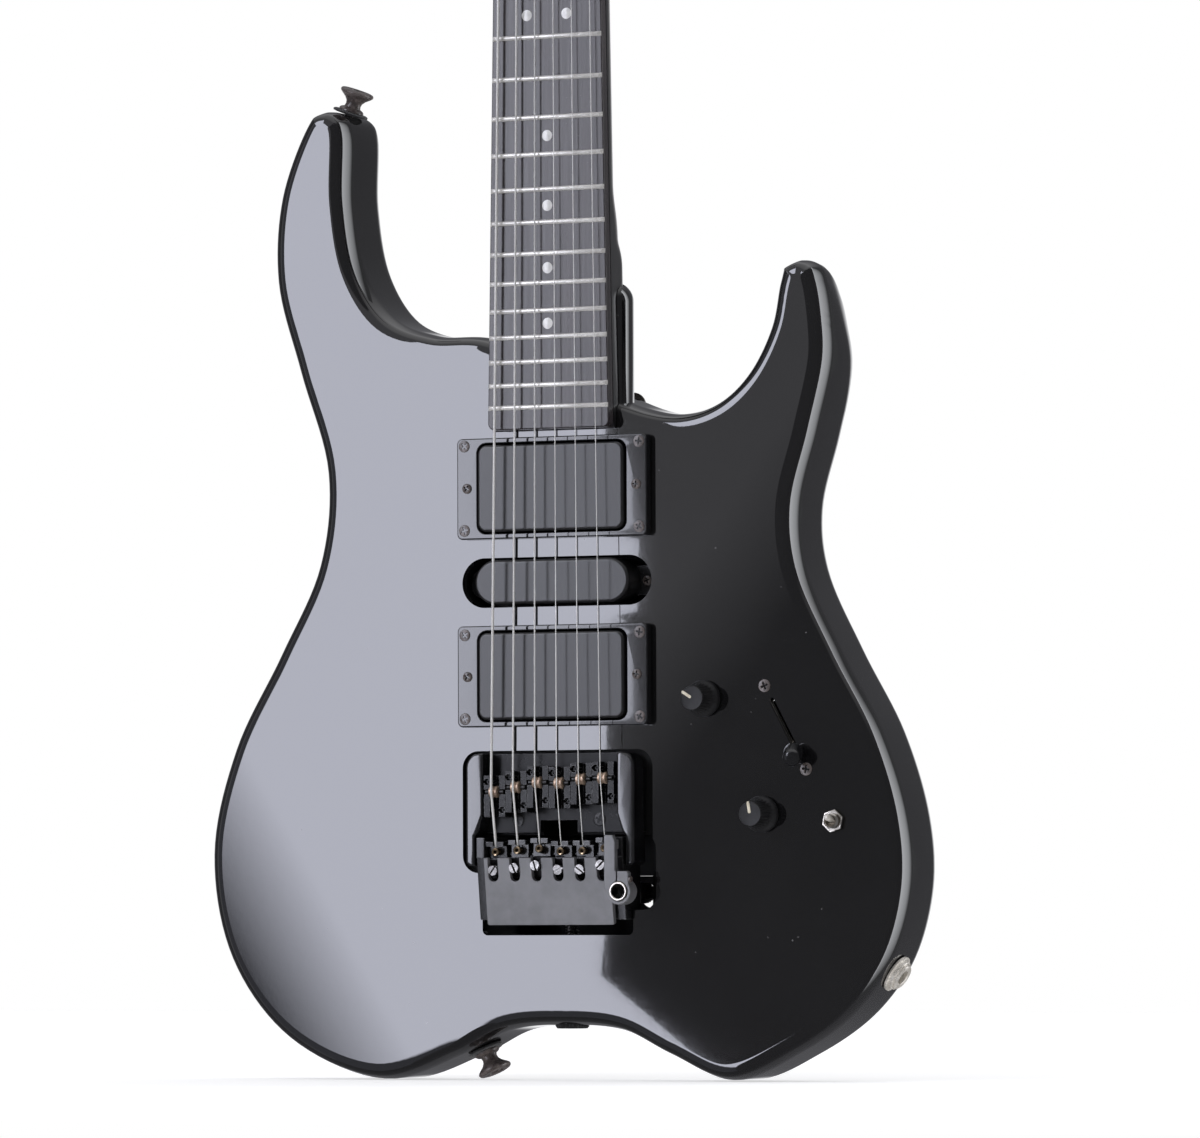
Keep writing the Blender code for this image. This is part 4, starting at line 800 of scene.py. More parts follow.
def slotHead(radius, height):
    rows = ((0, 0), (1, 0), (1, 0.7), (0.92, 1), (0, 1))
    reach, thin = radius * 1.2, radius * 0.2
    slot = block((-reach, -thin, height * 0.3), (reach, thin, height + 0.001))
    return cutHead(rows, radius, height, 36, [slot])


def socketHead(radius, height, steps=30):
    rows = ((0, 0), (1, 0), (1, 0.85), (0.93, 1), (0, 1))
    hexagon = rod((0, 0, height * 0.35), (0, 0, height + 0.001), radius * 0.5, 6)
    return cutHead(rows, radius, height, steps, [hexagon])


def setScrew(name, head, spot, spin=0.3, finish="screw_black", body="guitar", direction=toFront):
    place(name, aimed(head.copy(), spot, direction, spin), finish, body, smooth=30.0)


bodyShape = {
    "inset": 0.0071, "frontRoll": 0.0114, "backRoll": 0.0100, "outlineSteps": 9,
    "rollRadii": ((15.0, 0.0100), (70.0, 0.0045), (90.0, 0.0240)), "rollStep": 7.0,
    "backRadii": ((90.0, 0.01),), "fit": 0.86, "widest": 0.05, "evenings": 6,
    "rimWidth": 0.0008, "tongueHalf": 0.0318, "tongueTop": 0.1290, "tongueDepth": 0.0190,
    "outline": mm(
        0, -195.5, 28, -197.8, 52, -208.7, 80, -219.2, 110, -208, 137, -190, 154.8, -166.4,
        163.4, -136, 161.9, -106, 150.3, -69, 130.8, -33, 114.5, 2, 112, 28, 120.3, 60,
        127.7, 92, 127.1, 110, 124.7, 125, 121.9, 131.9, 115, 134.7, 108.1, 131.9,
        105.3, 125, 101.1, 106, 90.5, 86.7, 77, 75, 60, 70, 40, 72.8, 0, 90, -36, 106,
        -62, 108, -84, 116.5, -98.5, 137, -104.7, 168, -104.9, 199.5, -107.3, 206.1,
        -113.4, 209.6, -120.4, 208.4, -124.7, 203.5, -137.6, 172, -139.8, 134, -128.5, 93,
        -115, 48, -119, 8, -138.4, -31, -161.4, -73, -172.8, -120, -163.3, -167,
        -134, -202.5, -89, -219.5, -52, -208.7, -28, -197.8,
    ),
}
# the right horn: where its tip begins, and how far its back is cut away there
hornShape = {
    "low": 0.070, "rise": 0.055, "left": 0.080, "aside": 0.018, "wider": 0.30, "pull": 0.0047,
    "deeper": 1.95, "drop": 0.30, "dropLow": 0.075,
}
cavityLoop = rounded(
    mm(60, -34, 112, -34, 146, -98, 146, -135, 132, -159, 88, -159, 60, -122), 0.0080
)
volumeSpot, toneSpot = mm(71, -54.3, 98.3, -104.5)
switchSpot, toggleSpot = mm(109.2, -67.3, 132, -107.7)
switchTurn = Matrix.Translation((switchSpot[0], 0.0, switchSpot[1])) @ Matrix.Rotation(
    math.radians(-28.3), 4, "Y"
)
jackSpot, jackOut = Vector((0.15119, -0.021, -0.17285)), Vector((0.84837, 0, -0.52941))
buttons = {
    "upper": (Vector((-0.11173, -0.021, 0.20913)), Vector((0.3542, 0, 0.93517))),
    "lower": (Vector((-0.04565, -0.021, -0.2059)), Vector((0.43423, 0, -0.9008))),
}
# across, along the neck, and how deep the back lies there
neckBolts = (
    (-0.019, 0.0760, 0.0), (0.019, 0.0760, 0.0), (-0.019, 0.1120, -0.023), (0.019, 0.1120, -0.023),
)
pickupHeights = {"neck": 0.0390, "bridge": -0.0432, "middle": -0.0021}


def smoothClosed(points, steps):
    # closed Catmull-Rom curve, spaced by the root of each chord
    result = []
    count = len(points)
    for index in range(count):
        knots = [Vector(points[(index + shift) % count]) for shift in (-1, 0, 1, 2)]
        times = [0.0]
        for first, second in zip(knots, knots[1:]):
            times.append(times[-1] + math.sqrt((second - first).length))
        for step in range(steps):
            time = times[1] + (times[2] - times[1]) * step / steps
            level = knots
            for span in (((0, 1), (1, 2), (2, 3)), ((0, 2), (1, 3)), ((1, 2),)):
                level = [
                    level[k].lerp(level[k + 1], (time - times[a]) / (times[b] - times[a]))
                    for k, (a, b) in enumerate(span)
                ]
            result.append(level[0])
    return result


def rollShares(radii):
    # how far along its inset and its depth a rolled edge is, at each angle of turn
    turned, spot, result = 0.0, Vector((0.0, 0.0)), [Vector((0.0, 0.0))]
    for end, radius in radii:
        parts = max(int((end - turned) / bodyShape["rollStep"]), 2)
        before = math.radians(turned)
        for step in range(1, parts + 1):
            angle = math.radians(turned + (end - turned) * step / parts)
            across = math.sin(angle) - math.sin(before)
            spot = spot + radius * Vector((across, math.cos(before) - math.cos(angle)))
            result.append(spot)
            before = angle
        turned = end
    return [(1 - share.x / spot.x, share.y / spot.y) for share in result]


def unit(value):
    return min(max(value, 0.0), 1.0)


def hornTip(spot):
    # 0 away from the right horn, 1 at its tip
    look = hornShape
    rise = unit((spot.y - look["low"]) / look["rise"]) ** 1.5
    aside = unit((spot.x - look["left"]) / look["aside"])
    return rise * aside * aside * (3 - 2 * aside)


def roundedShell(points, look):
    # a slab from the front face to y = 0; each edge rolls over, tighter at sharp turns
    horn, count = hornShape, len(points)
    normals, reaches, limits = [], [], []
    for k in range(count):
        before, here, after = points[k - 1], points[k], points[(k + 1) % count]
        along = (after - before).normalized()
        normals.append(Vector((along.y, -along.x)))
        turn = (after - here).angle_signed(here - before)
        bend = 2 * abs(turn) / ((after - here).length + (here - before).length)
        tight = turn > 0 and bend > look["fit"] / look["widest"]
        limits.append(look["fit"] / bend if tight else look["widest"])
        reaches.append(min(look["inset"], limits[-1]))
    for _ in range(look["evenings"]):
        reaches, limits = [
            [min(row[k], (row[k - 1] + row[k] + row[(k + 1) % count]) / 3) for k in range(count)]
            for row in (reaches, limits)
        ]
    tips = [hornTip(spot) for spot in points]
    shape = bmesh.new()
    rings = []
    back = [
        (inner, sunk, 0.0, -look["backRoll"], tips)
        for inner, sunk in rollShares(look["backRadii"])
    ]
    face = [
        (inner, sunk, front, look["frontRoll"], [0.0] * count)
        for inner, sunk in rollShares(look["rollRadii"])[::-1]
    ]
    for inner, sunk, level, roll, ends in back + face:
        ring = []
        for k, tip in enumerate(ends):
            # the back of the right horn is cut away in a long curve towards its tip
            share = inner + ((1 - sunk) ** 2 - inner) * tip
            pull = min(reaches[k] * (1 + horn["wider"] * tip), limits[k])
            pull = (pull + (horn["pull"] - pull) * unit((tip - 0.5) / 0.5)) * share
            depth = level + roll * (1 + horn["deeper"] * tip) * sunk
            spot = points[k] - normals[k] * pull
            if tip > 0:
                above = max(spot.y - horn["dropLow"], 0.0)
                spot.y -= share * horn["drop"] * above ** 2 / horn["rise"]
            ring.append(shape.verts.new((spot.x, depth, spot.y)))
        rings.append(ring)
    stitch(shape, rings, caps=True)
    return meshOf(shape, True)


def bodyTools():
    # the cutters of the pocket, routs and bores, each from over the face to its depth
    over = 0.009
    half = boardHalf(boardEnd) + 0.0003
    low, high, narrower = boardEnd - 0.0003, 0.138, half - 0.0012
    pocket = [(-half, low), (half, low), (narrower, high), (-narrower, high)]
    yield frontPlate([pocket], over, pocketFloor)
    for word in ("neck", "bridge"):
        loop = roundedBox(0.0, pickupHeights[word], 0.0733, 0.0408, 0.004)
        yield frontPlate([loop], over, 0.0155)
    pill = roundedBox(0.0, pickupHeights["middle"], 0.0917, 0.0218, 0.0218 * 0.499, 14)
    yield frontPlate([pill], over, 0.0155)
    # bridge rout: left, right, low, high, corner radius and steps, start and depth
    for left, right, low, high, radius, steps, start, depth in (
        (-0.0460, 0.0460, -0.1290, -0.0757, 0.0075, 10, over, 0.0050),
        (-0.0365, 0.0365, -0.1563, -0.1125, 0.0025, 6, over, 0.0380),
        (-0.0089, 0.0089, -0.1130, -0.1063, 0.0, 0, over, 0.0240),
        (-0.0362, 0.0362, -0.1485, -0.1305, 0.0045, 8, -0.0377, 0.0510),
        (0.0300, 0.0475, -0.1454, -0.1125, 0.0065, 10, over, 0.0200),
    ):
        loop = rectangle(left, right, low, high)
        yield frontPlate([rounded(loop, radius, steps) if radius else loop], start, depth)
    yield rod((0, springY, -0.1513), (0, springY, -0.2155), 0.0078, 40)
    yield frontPlate([cavityLoop], -0.0070, 0.0510)
    yield frontPlate([cavityLoop], -0.0397, 0.0510, offset=0.0050)
    for (x, z), radius in ((volumeSpot, 0.0039), (toneSpot, 0.0039), (toggleSpot, 0.0033)):
        yield rod((x, front - over, z), (x, front + 0.0115, z), radius, 32)
    slot = frontPlate([roundedBox(0.0, 0.0, 0.0024, 0.0290, 0.00115, 4)], over, 0.0079)
    slot.transform(switchTurn)
    yield slot
    yield rod(jackSpot + jackOut * 0.01, jackSpot - jackOut * 0.032, 0.0060, 40)
    for spot, out in buttons.values():
        yield rod(spot + out * 0.01, spot - out * 0.020, 0.0023, 16)
    for x, z, back in neckBolts:
        yield rod((x, back - 0.0035, z), (x, back + 0.004, z), 0.0062, 32)


def makeBody():
    look = bodyShape
    lowest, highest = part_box("body")
    points = []
    for spot in smoothClosed(look["outline"], look["outlineSteps"]):
        x = min(max(spot.x, lowest.x), highest.x)
        z = min(max(spot.y, lowest.z), highest.z)
        points.append(Vector((x, z)))
    half, depth = look["tongueHalf"], look["tongueDepth"]
    loop = rounded(rectangle(-half, half, boardEnd - 0.009, look["tongueTop"]), 0.0093, 10)
    tongue = frontPlate([loop], -0.0003, depth + 0.0003, 0.0080, 4)
    shell = boolean(roundedShell(points, look), [tongue], "UNION")
    shell = boolean(shell, list(bodyTools()))

    def onFace(edge):
        depths = [vert.co.y for vert in edge.verts]
        return all(abs(y - front) < 0.0004 for y in depths) or all(y > -0.0004 for y in depths)

    shell = softened(shell, look["rimWidth"], 40.0, 3, onFace)
    weighted(place("body_shell", shell, "black_lacquer", "guitar", "body", 32.0))


makeBody()
print("body made")


neckShape = {
    "steps": 32, "parts": 6, "sink": 0.0053, "depthHeel": 0.0163, "depthNut": 0.0150,
    "heelEnd": 0.1350, "square": 9.0, "turning": 4.0, "oval": 2.4, "ovalHead": 2.6,
}
boardShape = {
    "corner": 0.0030, "edge": 0.0005, "dotRadius": 0.00245, "twinDots": 0.0096,
    "singleDots": (3, 5, 7, 9, 15, 17, 19, 21),
}
fretShape = {
    "count": 25, "halfWidth": 0.00105, "inset": 0.0001, "filed": 0.85,
    # across and up, as shares of half the width and of the height
    "outline": ((-1.0, -0.10), (-0.98, 0.22), (-0.82, 0.62), (-0.45, 0.92), (0.0, 1.0),
                (0.45, 0.92), (0.82, 0.62), (0.98, 0.22), (1.0, -0.10)),
    # how far each end is filed back, how far in it lies, and its height
    "ends": ((1.0, 0.0, 0.80), (0.55, 0.0011, 1.0)),
}
headShape = {
    "thickness": 0.0100, "corner": 0.0030, "edge": 0.0014, "rim": 0.00025, "floor": 0.0035,
    "slotHalf": 0.0009, "pocketHalf": 0.0024, "pocketLength": 0.0063, "screwX": 0.0150,
    "screwInset": 0.0035,
}


def makeNeck():
    look = neckShape
    top = boardTop + look["sink"]
    heelEnd, heelDepth = look["heelEnd"], pocketFloor - (top - front) - 0.0003
    stations = (
        (boardEnd, heelDepth, look["square"]), (heelEnd, heelDepth, look["square"]),
        (heelEnd + 0.0120, (heelDepth + look["depthHeel"]) / 2, look["turning"]),
        (heelEnd + 0.0350, look["depthHeel"], look["oval"]),
        (nutLine - 0.0300, look["depthNut"], look["oval"]),
        (nutLine + 0.0292, look["depthNut"], look["ovalHead"]),
    )
    rows = []
    for (lowZ, lowDepth, lowPower), (highZ, highDepth, highPower) in zip(stations, stations[1:]):
        for step in range(look["parts"]):
            share = step / look["parts"]
            ease = share * share * (3 - 2 * share)
            rows.append((lowZ + (highZ - lowZ) * share, lowDepth + (highDepth - lowDepth) * ease,
                         lowPower + (highPower - lowPower) * ease))
    rows.append(stations[-1])
    shape = bmesh.new()
    rings = []
    for height, depth, power in rows:
        half = boardHalf(min(height, nutLine))
        ring = []
        for step in range(look["steps"] + 1):
            angle = math.pi * step / look["steps"]
            x = -half * math.copysign(abs(math.cos(angle)) ** (2 / power), math.cos(angle))
            y = top + depth * abs(math.sin(angle)) ** (2 / power)
            ring.append(shape.verts.new((x, y, height)))
        rings.append(ring)
    stitch(shape, rings, caps=True)
    place("neck_blank", meshOf(shape, True), "neck_satin", "guitar", "neck", 50.0)


def makeBoard():
    low, high = boardHalf(boardEnd), boardHalf(boardHeadEnd)
    corners = [(-low, boardEnd), (low, boardEnd), (high, boardHeadEnd), (-high, boardHeadEnd)]
    loop = rounded(corners, boardShape["corner"], 6)
    matrix = alongY(boardTop + boardThickness / 2)
    mesh = plate([loop], matrix, boardThickness, boardShape["edge"])
    weighted(place("fingerboard_blank", mesh, "board_phenolic", "guitar", "fingerboard"))


def makeFrets():
    # crowned wires with their ends filed back
    look = fretShape
    shape = bmesh.new()
    for number in range(look["count"]):
        height = fretLine(number)
        rings = []
        for side in (-1, 1):
            for pull, inward, level in look["ends"]:
                ring = []
                for across, up in look["outline"]:
                    filed = max(up, 0.0) * fretHeight * pull * look["filed"]
                    x = side * (boardHalf(height) - look["inset"] - filed - inward)
                    y = boardTop - max(up, -0.1) * fretHeight * level
                    spot = (x, y, height + across * look["halfWidth"])
                    ring.append(shape.verts.new(spot))
                rings.append(ring)
        stitch(shape, [rings[0], rings[1], rings[3], rings[2]], caps=True)
    place("fret_wires", meshOf(shape, True), "fret_wire", smooth=50.0)


def makeDots():
    look = boardShape
    radius, twelve = look["dotRadius"], dotLine(12)
    spots = [(0.0, dotLine(number)) for number in look["singleDots"]]
    spots += [(-look["twinDots"], twelve), (look["twinDots"], twelve)]
    profile = ((0.0, -0.0003), (radius, -0.0003), (radius, 0.00002),
               (radius - 0.0002, 0.00006), (0.0, 0.00008))
    dots = [aimed(lathe(profile, 32), (x, boardTop, z)) for x, z in spots]
    place("position_dots", joined(dots), "dot_pearl")
    heights = [dotLine(number) for number in look["singleDots"]] + [twelve - 0.004, twelve + 0.004]
    profile = mm(0, -0.2, 0.9, -0.2, 0.9, 0.01, 0, 0.03)
    marks = [
        aimed(lathe(profile, 16), (-boardHalf(z), boardTop + 0.0024, z), (-1.0, 0.0, 0.0))
        for z in heights
    ]
    place("side_dots", joined(marks), "dot_pearl")


def makeHeadpiece():
    look = headShape
    slot, pocket = look["slotHalf"], look["pocketHalf"]
    low = boardHeadEnd + 0.0003
    high = low + headLength
    base = boardTop + boardThickness
    crown, floor = base - look["thickness"], base - look["floor"]
    half = boardHalf(nutLine)
    loop = rounded(rectangle(-half, half, low, high), look["corner"], 6)
    mesh = plate([loop], alongY((base + crown) / 2), base - crown, look["edge"], 4)
    step = boardHeadEnd + headLength * headStep - 0.0006
    end = step + look["pocketLength"]
    pockets, slots = [], []
    for index in range(strings):
        x = stringX(index, low)
        slots.append(block(
            (x - slot, crown - 0.001, low - 0.001), (x + slot, floor, step + 0.0003)
        ))
        pockets.append(block((x - pocket, crown - 0.001, step), (x + pocket, floor + 0.0003, end)))
    mesh = softened(boolean(mesh, [joined(pockets), joined(slots)]), look["rim"], 45.0, 1)
    weighted(place("headpiece_block", mesh, "bridge_black", "guitar", "headpiece", 35.0))
    head = socketHead(0.0023, 0.0004)
    for number, x in enumerate((-look["screwX"], look["screwX"])):
        spot = (x, crown + 0.0002, high - look["screwInset"])
        setScrew(f"headpiece_screw_{number + 1}", head, spot)


makeNeck()
makeBoard()
makeFrets()
makeDots()
makeHeadpiece()
print("neck, board and headpiece made")


# the thinnest strings are drawn a little thicker, so that they still read
stringShape = {
    "radii": (0.00058, 0.00046, 0.00033, 0.00021, 0.00016, 0.00013), "thinnest": 0.00018,
    "wound": 3, "boardParts": 12, "tailParts": 8, "overFret": 0.0003,
    "eye": mm(0.85, -1.3, 1.4, -1.5, 1.75, -1.2, 1.8, -0.6, 1.4, 0,
              1.8, 0.6, 1.75, 1.2, 1.4, 1.5, 0.85, 1.3),
}


def jawFrame(index):
    turn = Matrix.Rotation(math.radians(jawTilts[index]), 4, "X")
    return Matrix.Translation((stringX(index, saddleLine), pivot.y, pivot.z)) @ turn


def makeStrings():
    look = stringShape
    top = boardHeadEnd + headLength * headStep
    headY = boardTop - 0.0010
    for index, radius in enumerate(look["radii"]):
        xHead, xSaddle = stringX(index, nutLine + 0.0025), stringX(index, saddleLine)
        onFret = boardTop - fretHeight - look["overFret"] - radius
        ball = jawFrame(index) @ Vector((0.0, -0.0058, 0.0017))
        nut = Vector((stringX(index, nutLine), onFret, nutLine))
        roll = Vector((xSaddle, rollerTop - radius, saddleLine - saddleSetbacks[index]))
        end = Vector((xSaddle, ball.y, ball.z + 0.0017))
        parts, lastParts = look["boardParts"], look["tailParts"]
        path = [Vector((xHead, headY, top)), nut]
        path += [nut.lerp(roll, k / parts) for k in range(1, parts)]
        path += [roll + Vector((0, 0, 0.0008)), roll, roll + Vector((0, 0.0001, -0.0010))]
        path += [roll.lerp(end, k / lastParts) for k in range(1, lastParts + 1)]
        finish = "string_wound" if index < look["wound"] else "string_plain"
        mesh = wire(path, max(radius, look["thinnest"]))
        item = finished(f"string_wire_{index + 1}", mesh, finish, 180.0)
        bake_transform(item)
        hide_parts(f"string_{index + 1}")
        along = jawFrame(index).to_3x3() @ Vector(toFront)
        mesh = aimed(lathe(look["eye"], 28, True), ball, along)
        place(f"ball_end_{index + 1}", mesh, "ball_brass", f"jaw_{index + 1}")
        mesh = aimed(lathe(look["eye"], 28, True), (xHead, headY, top + 0.0023))
        place(f"head_ball_{index + 1}", mesh, "ball_brass")


makeStrings()
print("strings made")


pickupShape = {
    "ringWidth": 0.0920, "ringLength": 0.0443, "ringHeight": 0.0048, "gap": 0.0014,
    "coverWidth": 0.0705, "coverLength": 0.0380, "rise": 0.0063, "depth": 0.0127,
    # the ring's screws: across, then low, high and middle along the neck
    "cornerX": 0.0423, "sideX": 0.0409887,
    "screws": {"neck": (0.0208, 0.0578, 0.0392), "bridge": (-0.0617, -0.0250, -0.0433)},
}


def makePickups():
    look = pickupShape
    small, tall = crossHead(0.0026, 0.0005), crossHead(0.0022, 0.0010, False)
    seat = front - look["ringHeight"] + 0.0001
    width, length, gap = look["coverWidth"], look["coverLength"], look["gap"]
    for word, (low, high, side) in look["screws"].items():
        height = pickupHeights[word]
        outer = roundedBox(0.0, height, look["ringWidth"], look["ringLength"], 0.0025)
        inner = roundedBox(0.0, height, width + gap, length + gap, 0.0042)
        mesh = frontPlate([outer, inner], look["ringHeight"], -0.0003, 0.0006, 3)
        weighted(place(f"ring_{word}", mesh, "ring_gloss", "guitar", f"pickup_ring_{word}"))
        loop = roundedBox(0.0, height, width, length, 0.0040, 8)
        mesh = frontPlate([loop], look["rise"], look["depth"], 0.0012, 5)
        weighted(place(f"cover_{word}", mesh, "pickup_shell", "guitar", f"pickup_{word}"))
        number = 0
        for column, x in ((1, -1), (2, 1)):
            for z in (low, high):
                number += 1
                spot = (x * look["cornerX"], seat, z)
                setScrew(f"{word}_ring_screw_{number}", small, spot, 0.35 * number)
            spot = (x * look["sideX"], seat, side)
            setScrew(f"{word}_height_screw_{column}", tall, spot, 0.6 + number)
    makeMiddlePickup(tall)


middleShape = {
    "width": 0.0745, "length": 0.0193, "ends": 0.0193 * 0.499, "rise": 0.0052, "edge": 0.0013,
    "earsWidth": 0.0903, "earsLength": 0.0130, "earsCorner": 0.0055, "earsTop": 0.0080,
    "earsBottom": 0.0100, "screwX": 0.0403, "screwSeat": 0.0078,
}


def makeMiddlePickup(head):
    look, height = middleShape, pickupHeights["middle"]
    pill = roundedBox(0.0, height, look["width"], look["length"], look["ends"], 14)
    mesh = frontPlate([pill], look["rise"], pickupShape["depth"], look["edge"], 5)
    weighted(place("cover_middle", mesh, "pickup_shell", "guitar", "pickup_middle"))
    ears = roundedBox(0.0, height, look["earsWidth"], look["earsLength"], look["earsCorner"], 8)
    mesh = frontPlate([ears], -look["earsTop"], look["earsBottom"], 0.0003, 1)
    weighted(place("middle_ears", mesh, "bridge_black", slot="pickup_satin"))
    for number, x in enumerate((-look["screwX"], look["screwX"])):
        spot = (x, front + look["screwSeat"], height - 0.0001)
        setScrew(f"middle_screw_{number + 1}", head, spot, 0.9 + number)


makePickups()
print("pickups made")


frameShape = {
    "half": 0.0406, "corner": 0.0060, "top": -0.0770, "end": -0.1115, "flange": 0.0323,
    "arm": 0.0364, "armEnd": -0.1260, "height": 0.0080, "bottom": 0.0047, "floor": 0.0017,
    "notch": 0.0090, "notchEnd": -0.1062, "boss": mm(0, 0, 2.6, 0, 2.6, 0.22, 2.2, 0.34, 0, 0.34),
}


def makeBridgeFrame():
    look = frameShape
    half, corner, top, end = look["half"], look["corner"], look["top"], look["end"]
    arm, armEnd, flange, notch = look["arm"], look["armEnd"], look["flange"], look["notch"]
    outline = [(notch, look["notchEnd"]), (notch, end), (half, end), (half, top - corner),
               (half - corner, top)]
    floor = [(-x, z) for x, z in outline[::-1]] + outline
    mesh = frontPlate([floor], -look["floor"], look["bottom"], 0.0002, 1)
    weighted(place("frame_floor", mesh, "frame_floor_black", smooth=35.0))
    parts = []
    for side in (-1, 1):
        turns = [math.radians(angle) for angle in (90, 72, 54, 36, 18, 0)]
        loop = [(half, armEnd + 0.0014)]
        loop += [
            (half - corner * (1 - math.sin(turn)), top - corner * (1 - math.cos(turn)))
            for turn in turns
        ]
        loop += [(flange, top), (flange, end + 0.0080), (arm - 0.0014, end), (arm, end - 0.0015),
                 (arm, armEnd), (half - 0.0014, armEnd)]
        loop = [(side * x, z) for x, z in loop]
        parts.append(frontPlate([loop], look["height"], look["bottom"] - 0.0001, 0.0011, 4))
        spot = (side * (arm - 0.0003), pivot.y, pivot.z)
        parts.append(aimed(lathe(look["boss"], 30), spot, (-side, 0.0, 0.0)))
    casting = joined(parts)
    weighted(place("frame_casting", casting, "cast_gloss_black", "guitar", "tremolo_frame", 35.0))
    seat = front + look["floor"]
    head = crossHead(0.0030, 0.00022)
    for number, x in enumerate((-0.0197, 0.0197)):
        name = f"frame_screw_{number + 1}"
        setScrew(name, head, (x, seat, -0.1060), 0.2 + number, "bolt_black")
    head = socketHead(0.0018, 0.0006)
    setScrew("frame_side_screw", head, (0.0299, seat, -0.1040), 0.0, "bolt_black")


saddleShape = {
    "half": 0.00505, "length": 0.0183, "nose": 0.0072, "height": 0.0086, "gutter": 0.0023,
    "screwInset": 0.0028, "screwSetback": 0.0032, "hole": 0.00145,
    "wheel": mm(0, 2, 1.9, 2, 2.4, 1.9, 2.6, 1.6, 2.6, 0.9, 2.25, 0.25, 2.18, 0,
                2.25, -0.25, 2.6, -0.9, 2.6, -1.6, 2.4, -1.9, 1.9, -2, 0, -2),
    "axle": mm(0, 4.45, 0.75, 4.45, 0.9, 4.3, 0.9, -4.3, 0.75, -4.45, 0, -4.45),
}


def makeSaddles():
    look = saddleShape
    floor = front + 0.0014
    sill, crown = floor - 0.0030, front - look["height"]
    axle = rollerTop + 0.0029
    half, gutter = look["half"], look["gutter"]
    wall = (half + gutter) / 2
    head = socketHead(0.00098, 0.0022, 18)
    for index in range(strings):
        x = stringX(index, saddleLine)
        height = saddleLine - saddleSetbacks[index]
        high = height + look["nose"]
        low = high - look["length"]
        loop = [(x - half, floor), (x + half, floor), (x + half, crown), (x + gutter, crown),
                (x + gutter, sill), (x - gutter, sill), (x - gutter, crown), (x - half, crown)]
        mesh = plate([loop], Matrix.Translation((0, 0, (low + high) / 2)), high - low, 0.00028)
        screws = (
            ("front", x - wall, high - look["screwInset"], 0.2 * index),
            ("back", x + wall, low + look["screwSetback"], 0.5 * index),
        )
        tools = [
            rod((spotX, crown - 0.002, z), (spotX, crown + 0.0060, z), look["hole"], 20)
            for _, spotX, z, _ in screws
        ]
        left, right = x - half - 0.002, x + half + 0.002
        tools.append(rod((left, axle, height), (right, axle, height), 0.0012, 20))
        body, turning = f"saddle_{index + 1}", f"roller_{index + 1}"
        mesh = boolean(mesh, tools)
        weighted(place(f"saddle_block_{index + 1}", mesh, "saddle_black", body, body, 35.0))
        for word, spotX, z, spin in screws:
            name = f"saddle_screw_{word}_{index + 1}"
            setScrew(name, head, (spotX, crown + 0.0040, z), spin, "bolt_black", body)
        spot, across = (x, axle, height), (1.0, 0.0, 0.0)
        mesh = aimed(lathe(look["wheel"]), spot, across)
        place(f"roller_wheel_{index + 1}", mesh, "roller_bronze", turning, turning, 28.0)
        mesh = aimed(lathe(look["axle"], 24), spot, across)
        place(f"roller_axle_{index + 1}", mesh, "bolt_black", turning, smooth=28.0)


tailShape = {
    "cheekInner": 0.0312, "cheekOuter": 0.0354, "slope": math.radians(7.6), "top": -0.1227,
    "end": -0.1495, "barTop": front + 0.0055, "bar": 0.0045, "under": 0.0029,
    "crown": front - 0.0085, "plateHalf": 0.0305, "plateEnd": 0.0294, "slotHalf": 0.0024,
    "slotDepth": 0.0103, "thickness": 0.0026,
}


def plateY(height, into=0.0):
    look = tailShape
    slope = look["slope"]
    return front - 0.0109 + (look["top"] - height) * math.tan(slope) + into / math.cos(slope)


def makeTailBlock():
    look = tailShape
    inner, outer, end, crown = look["cheekInner"], look["cheekOuter"], look["end"], look["crown"]
    barTop, barBottom = look["barTop"], look["barTop"] + look["bar"]
    loop = [
        (crown, -0.1138), (front + 0.0020, -0.1138), (barBottom, pivot.z), (barBottom, end),
        (plateY(end, look["under"]), end), (plateY(look["top"], look["under"]), look["top"]),
        (crown, look["top"] + 0.0004),
    ]
    side = outer - 0.0006
    parts = [
        sidePlate(loop, -outer, -inner, 0.0005), sidePlate(loop, inner, outer, 0.0005),
        block((-side, barTop, end + 0.0002), (side, barBottom - 0.0001, pivot.z - 0.0055), 0.0003),
        rod((-0.0400, pivot.y, pivot.z), (0.0400, pivot.y, pivot.z), 0.0019, 28),
        block((-0.0025, barBottom - 0.0010, -0.1305), (0.0025, front + 0.0177, -0.1270), 0.0003),
    ]
    weighted(place("tail_casting", joined(parts), "bridge_black", "tail", "tail_block", 35.0))


def makeTailPlate():
    look = tailShape
    half, slot, deep, end = (look[k] for k in ("plateHalf", "slotHalf", "slotDepth", "plateEnd"))
    loop = [(-half + 0.0006, -end), (half - 0.0006, -end), (half, -end + 0.0006), (half, 0.0)]
    for index in reversed(range(strings)):
        x = stringX(index, saddleLine)
        loop.append((x + slot, 0.0))
        for step in range(11):
            angle = math.pi * step / 10
            loop.append((x + slot * math.cos(angle), slot - deep - slot * math.sin(angle)))
        loop.append((x - slot, 0.0))
    loop += [(-half, 0.0), (-half, -end + 0.0006)]
    matrix = Matrix.Translation((0.0, plateY(look["top"]), look["top"]))
    matrix = matrix @ Matrix.Rotation(look["slope"], 4, "X") @ alongY(look["thickness"] / 2)
    mesh = plate([loop], matrix, look["thickness"], 0.0002)
    weighted(place("tail_cover", mesh, "tail_plate_black", "tail", "tail_plate", 35.0))


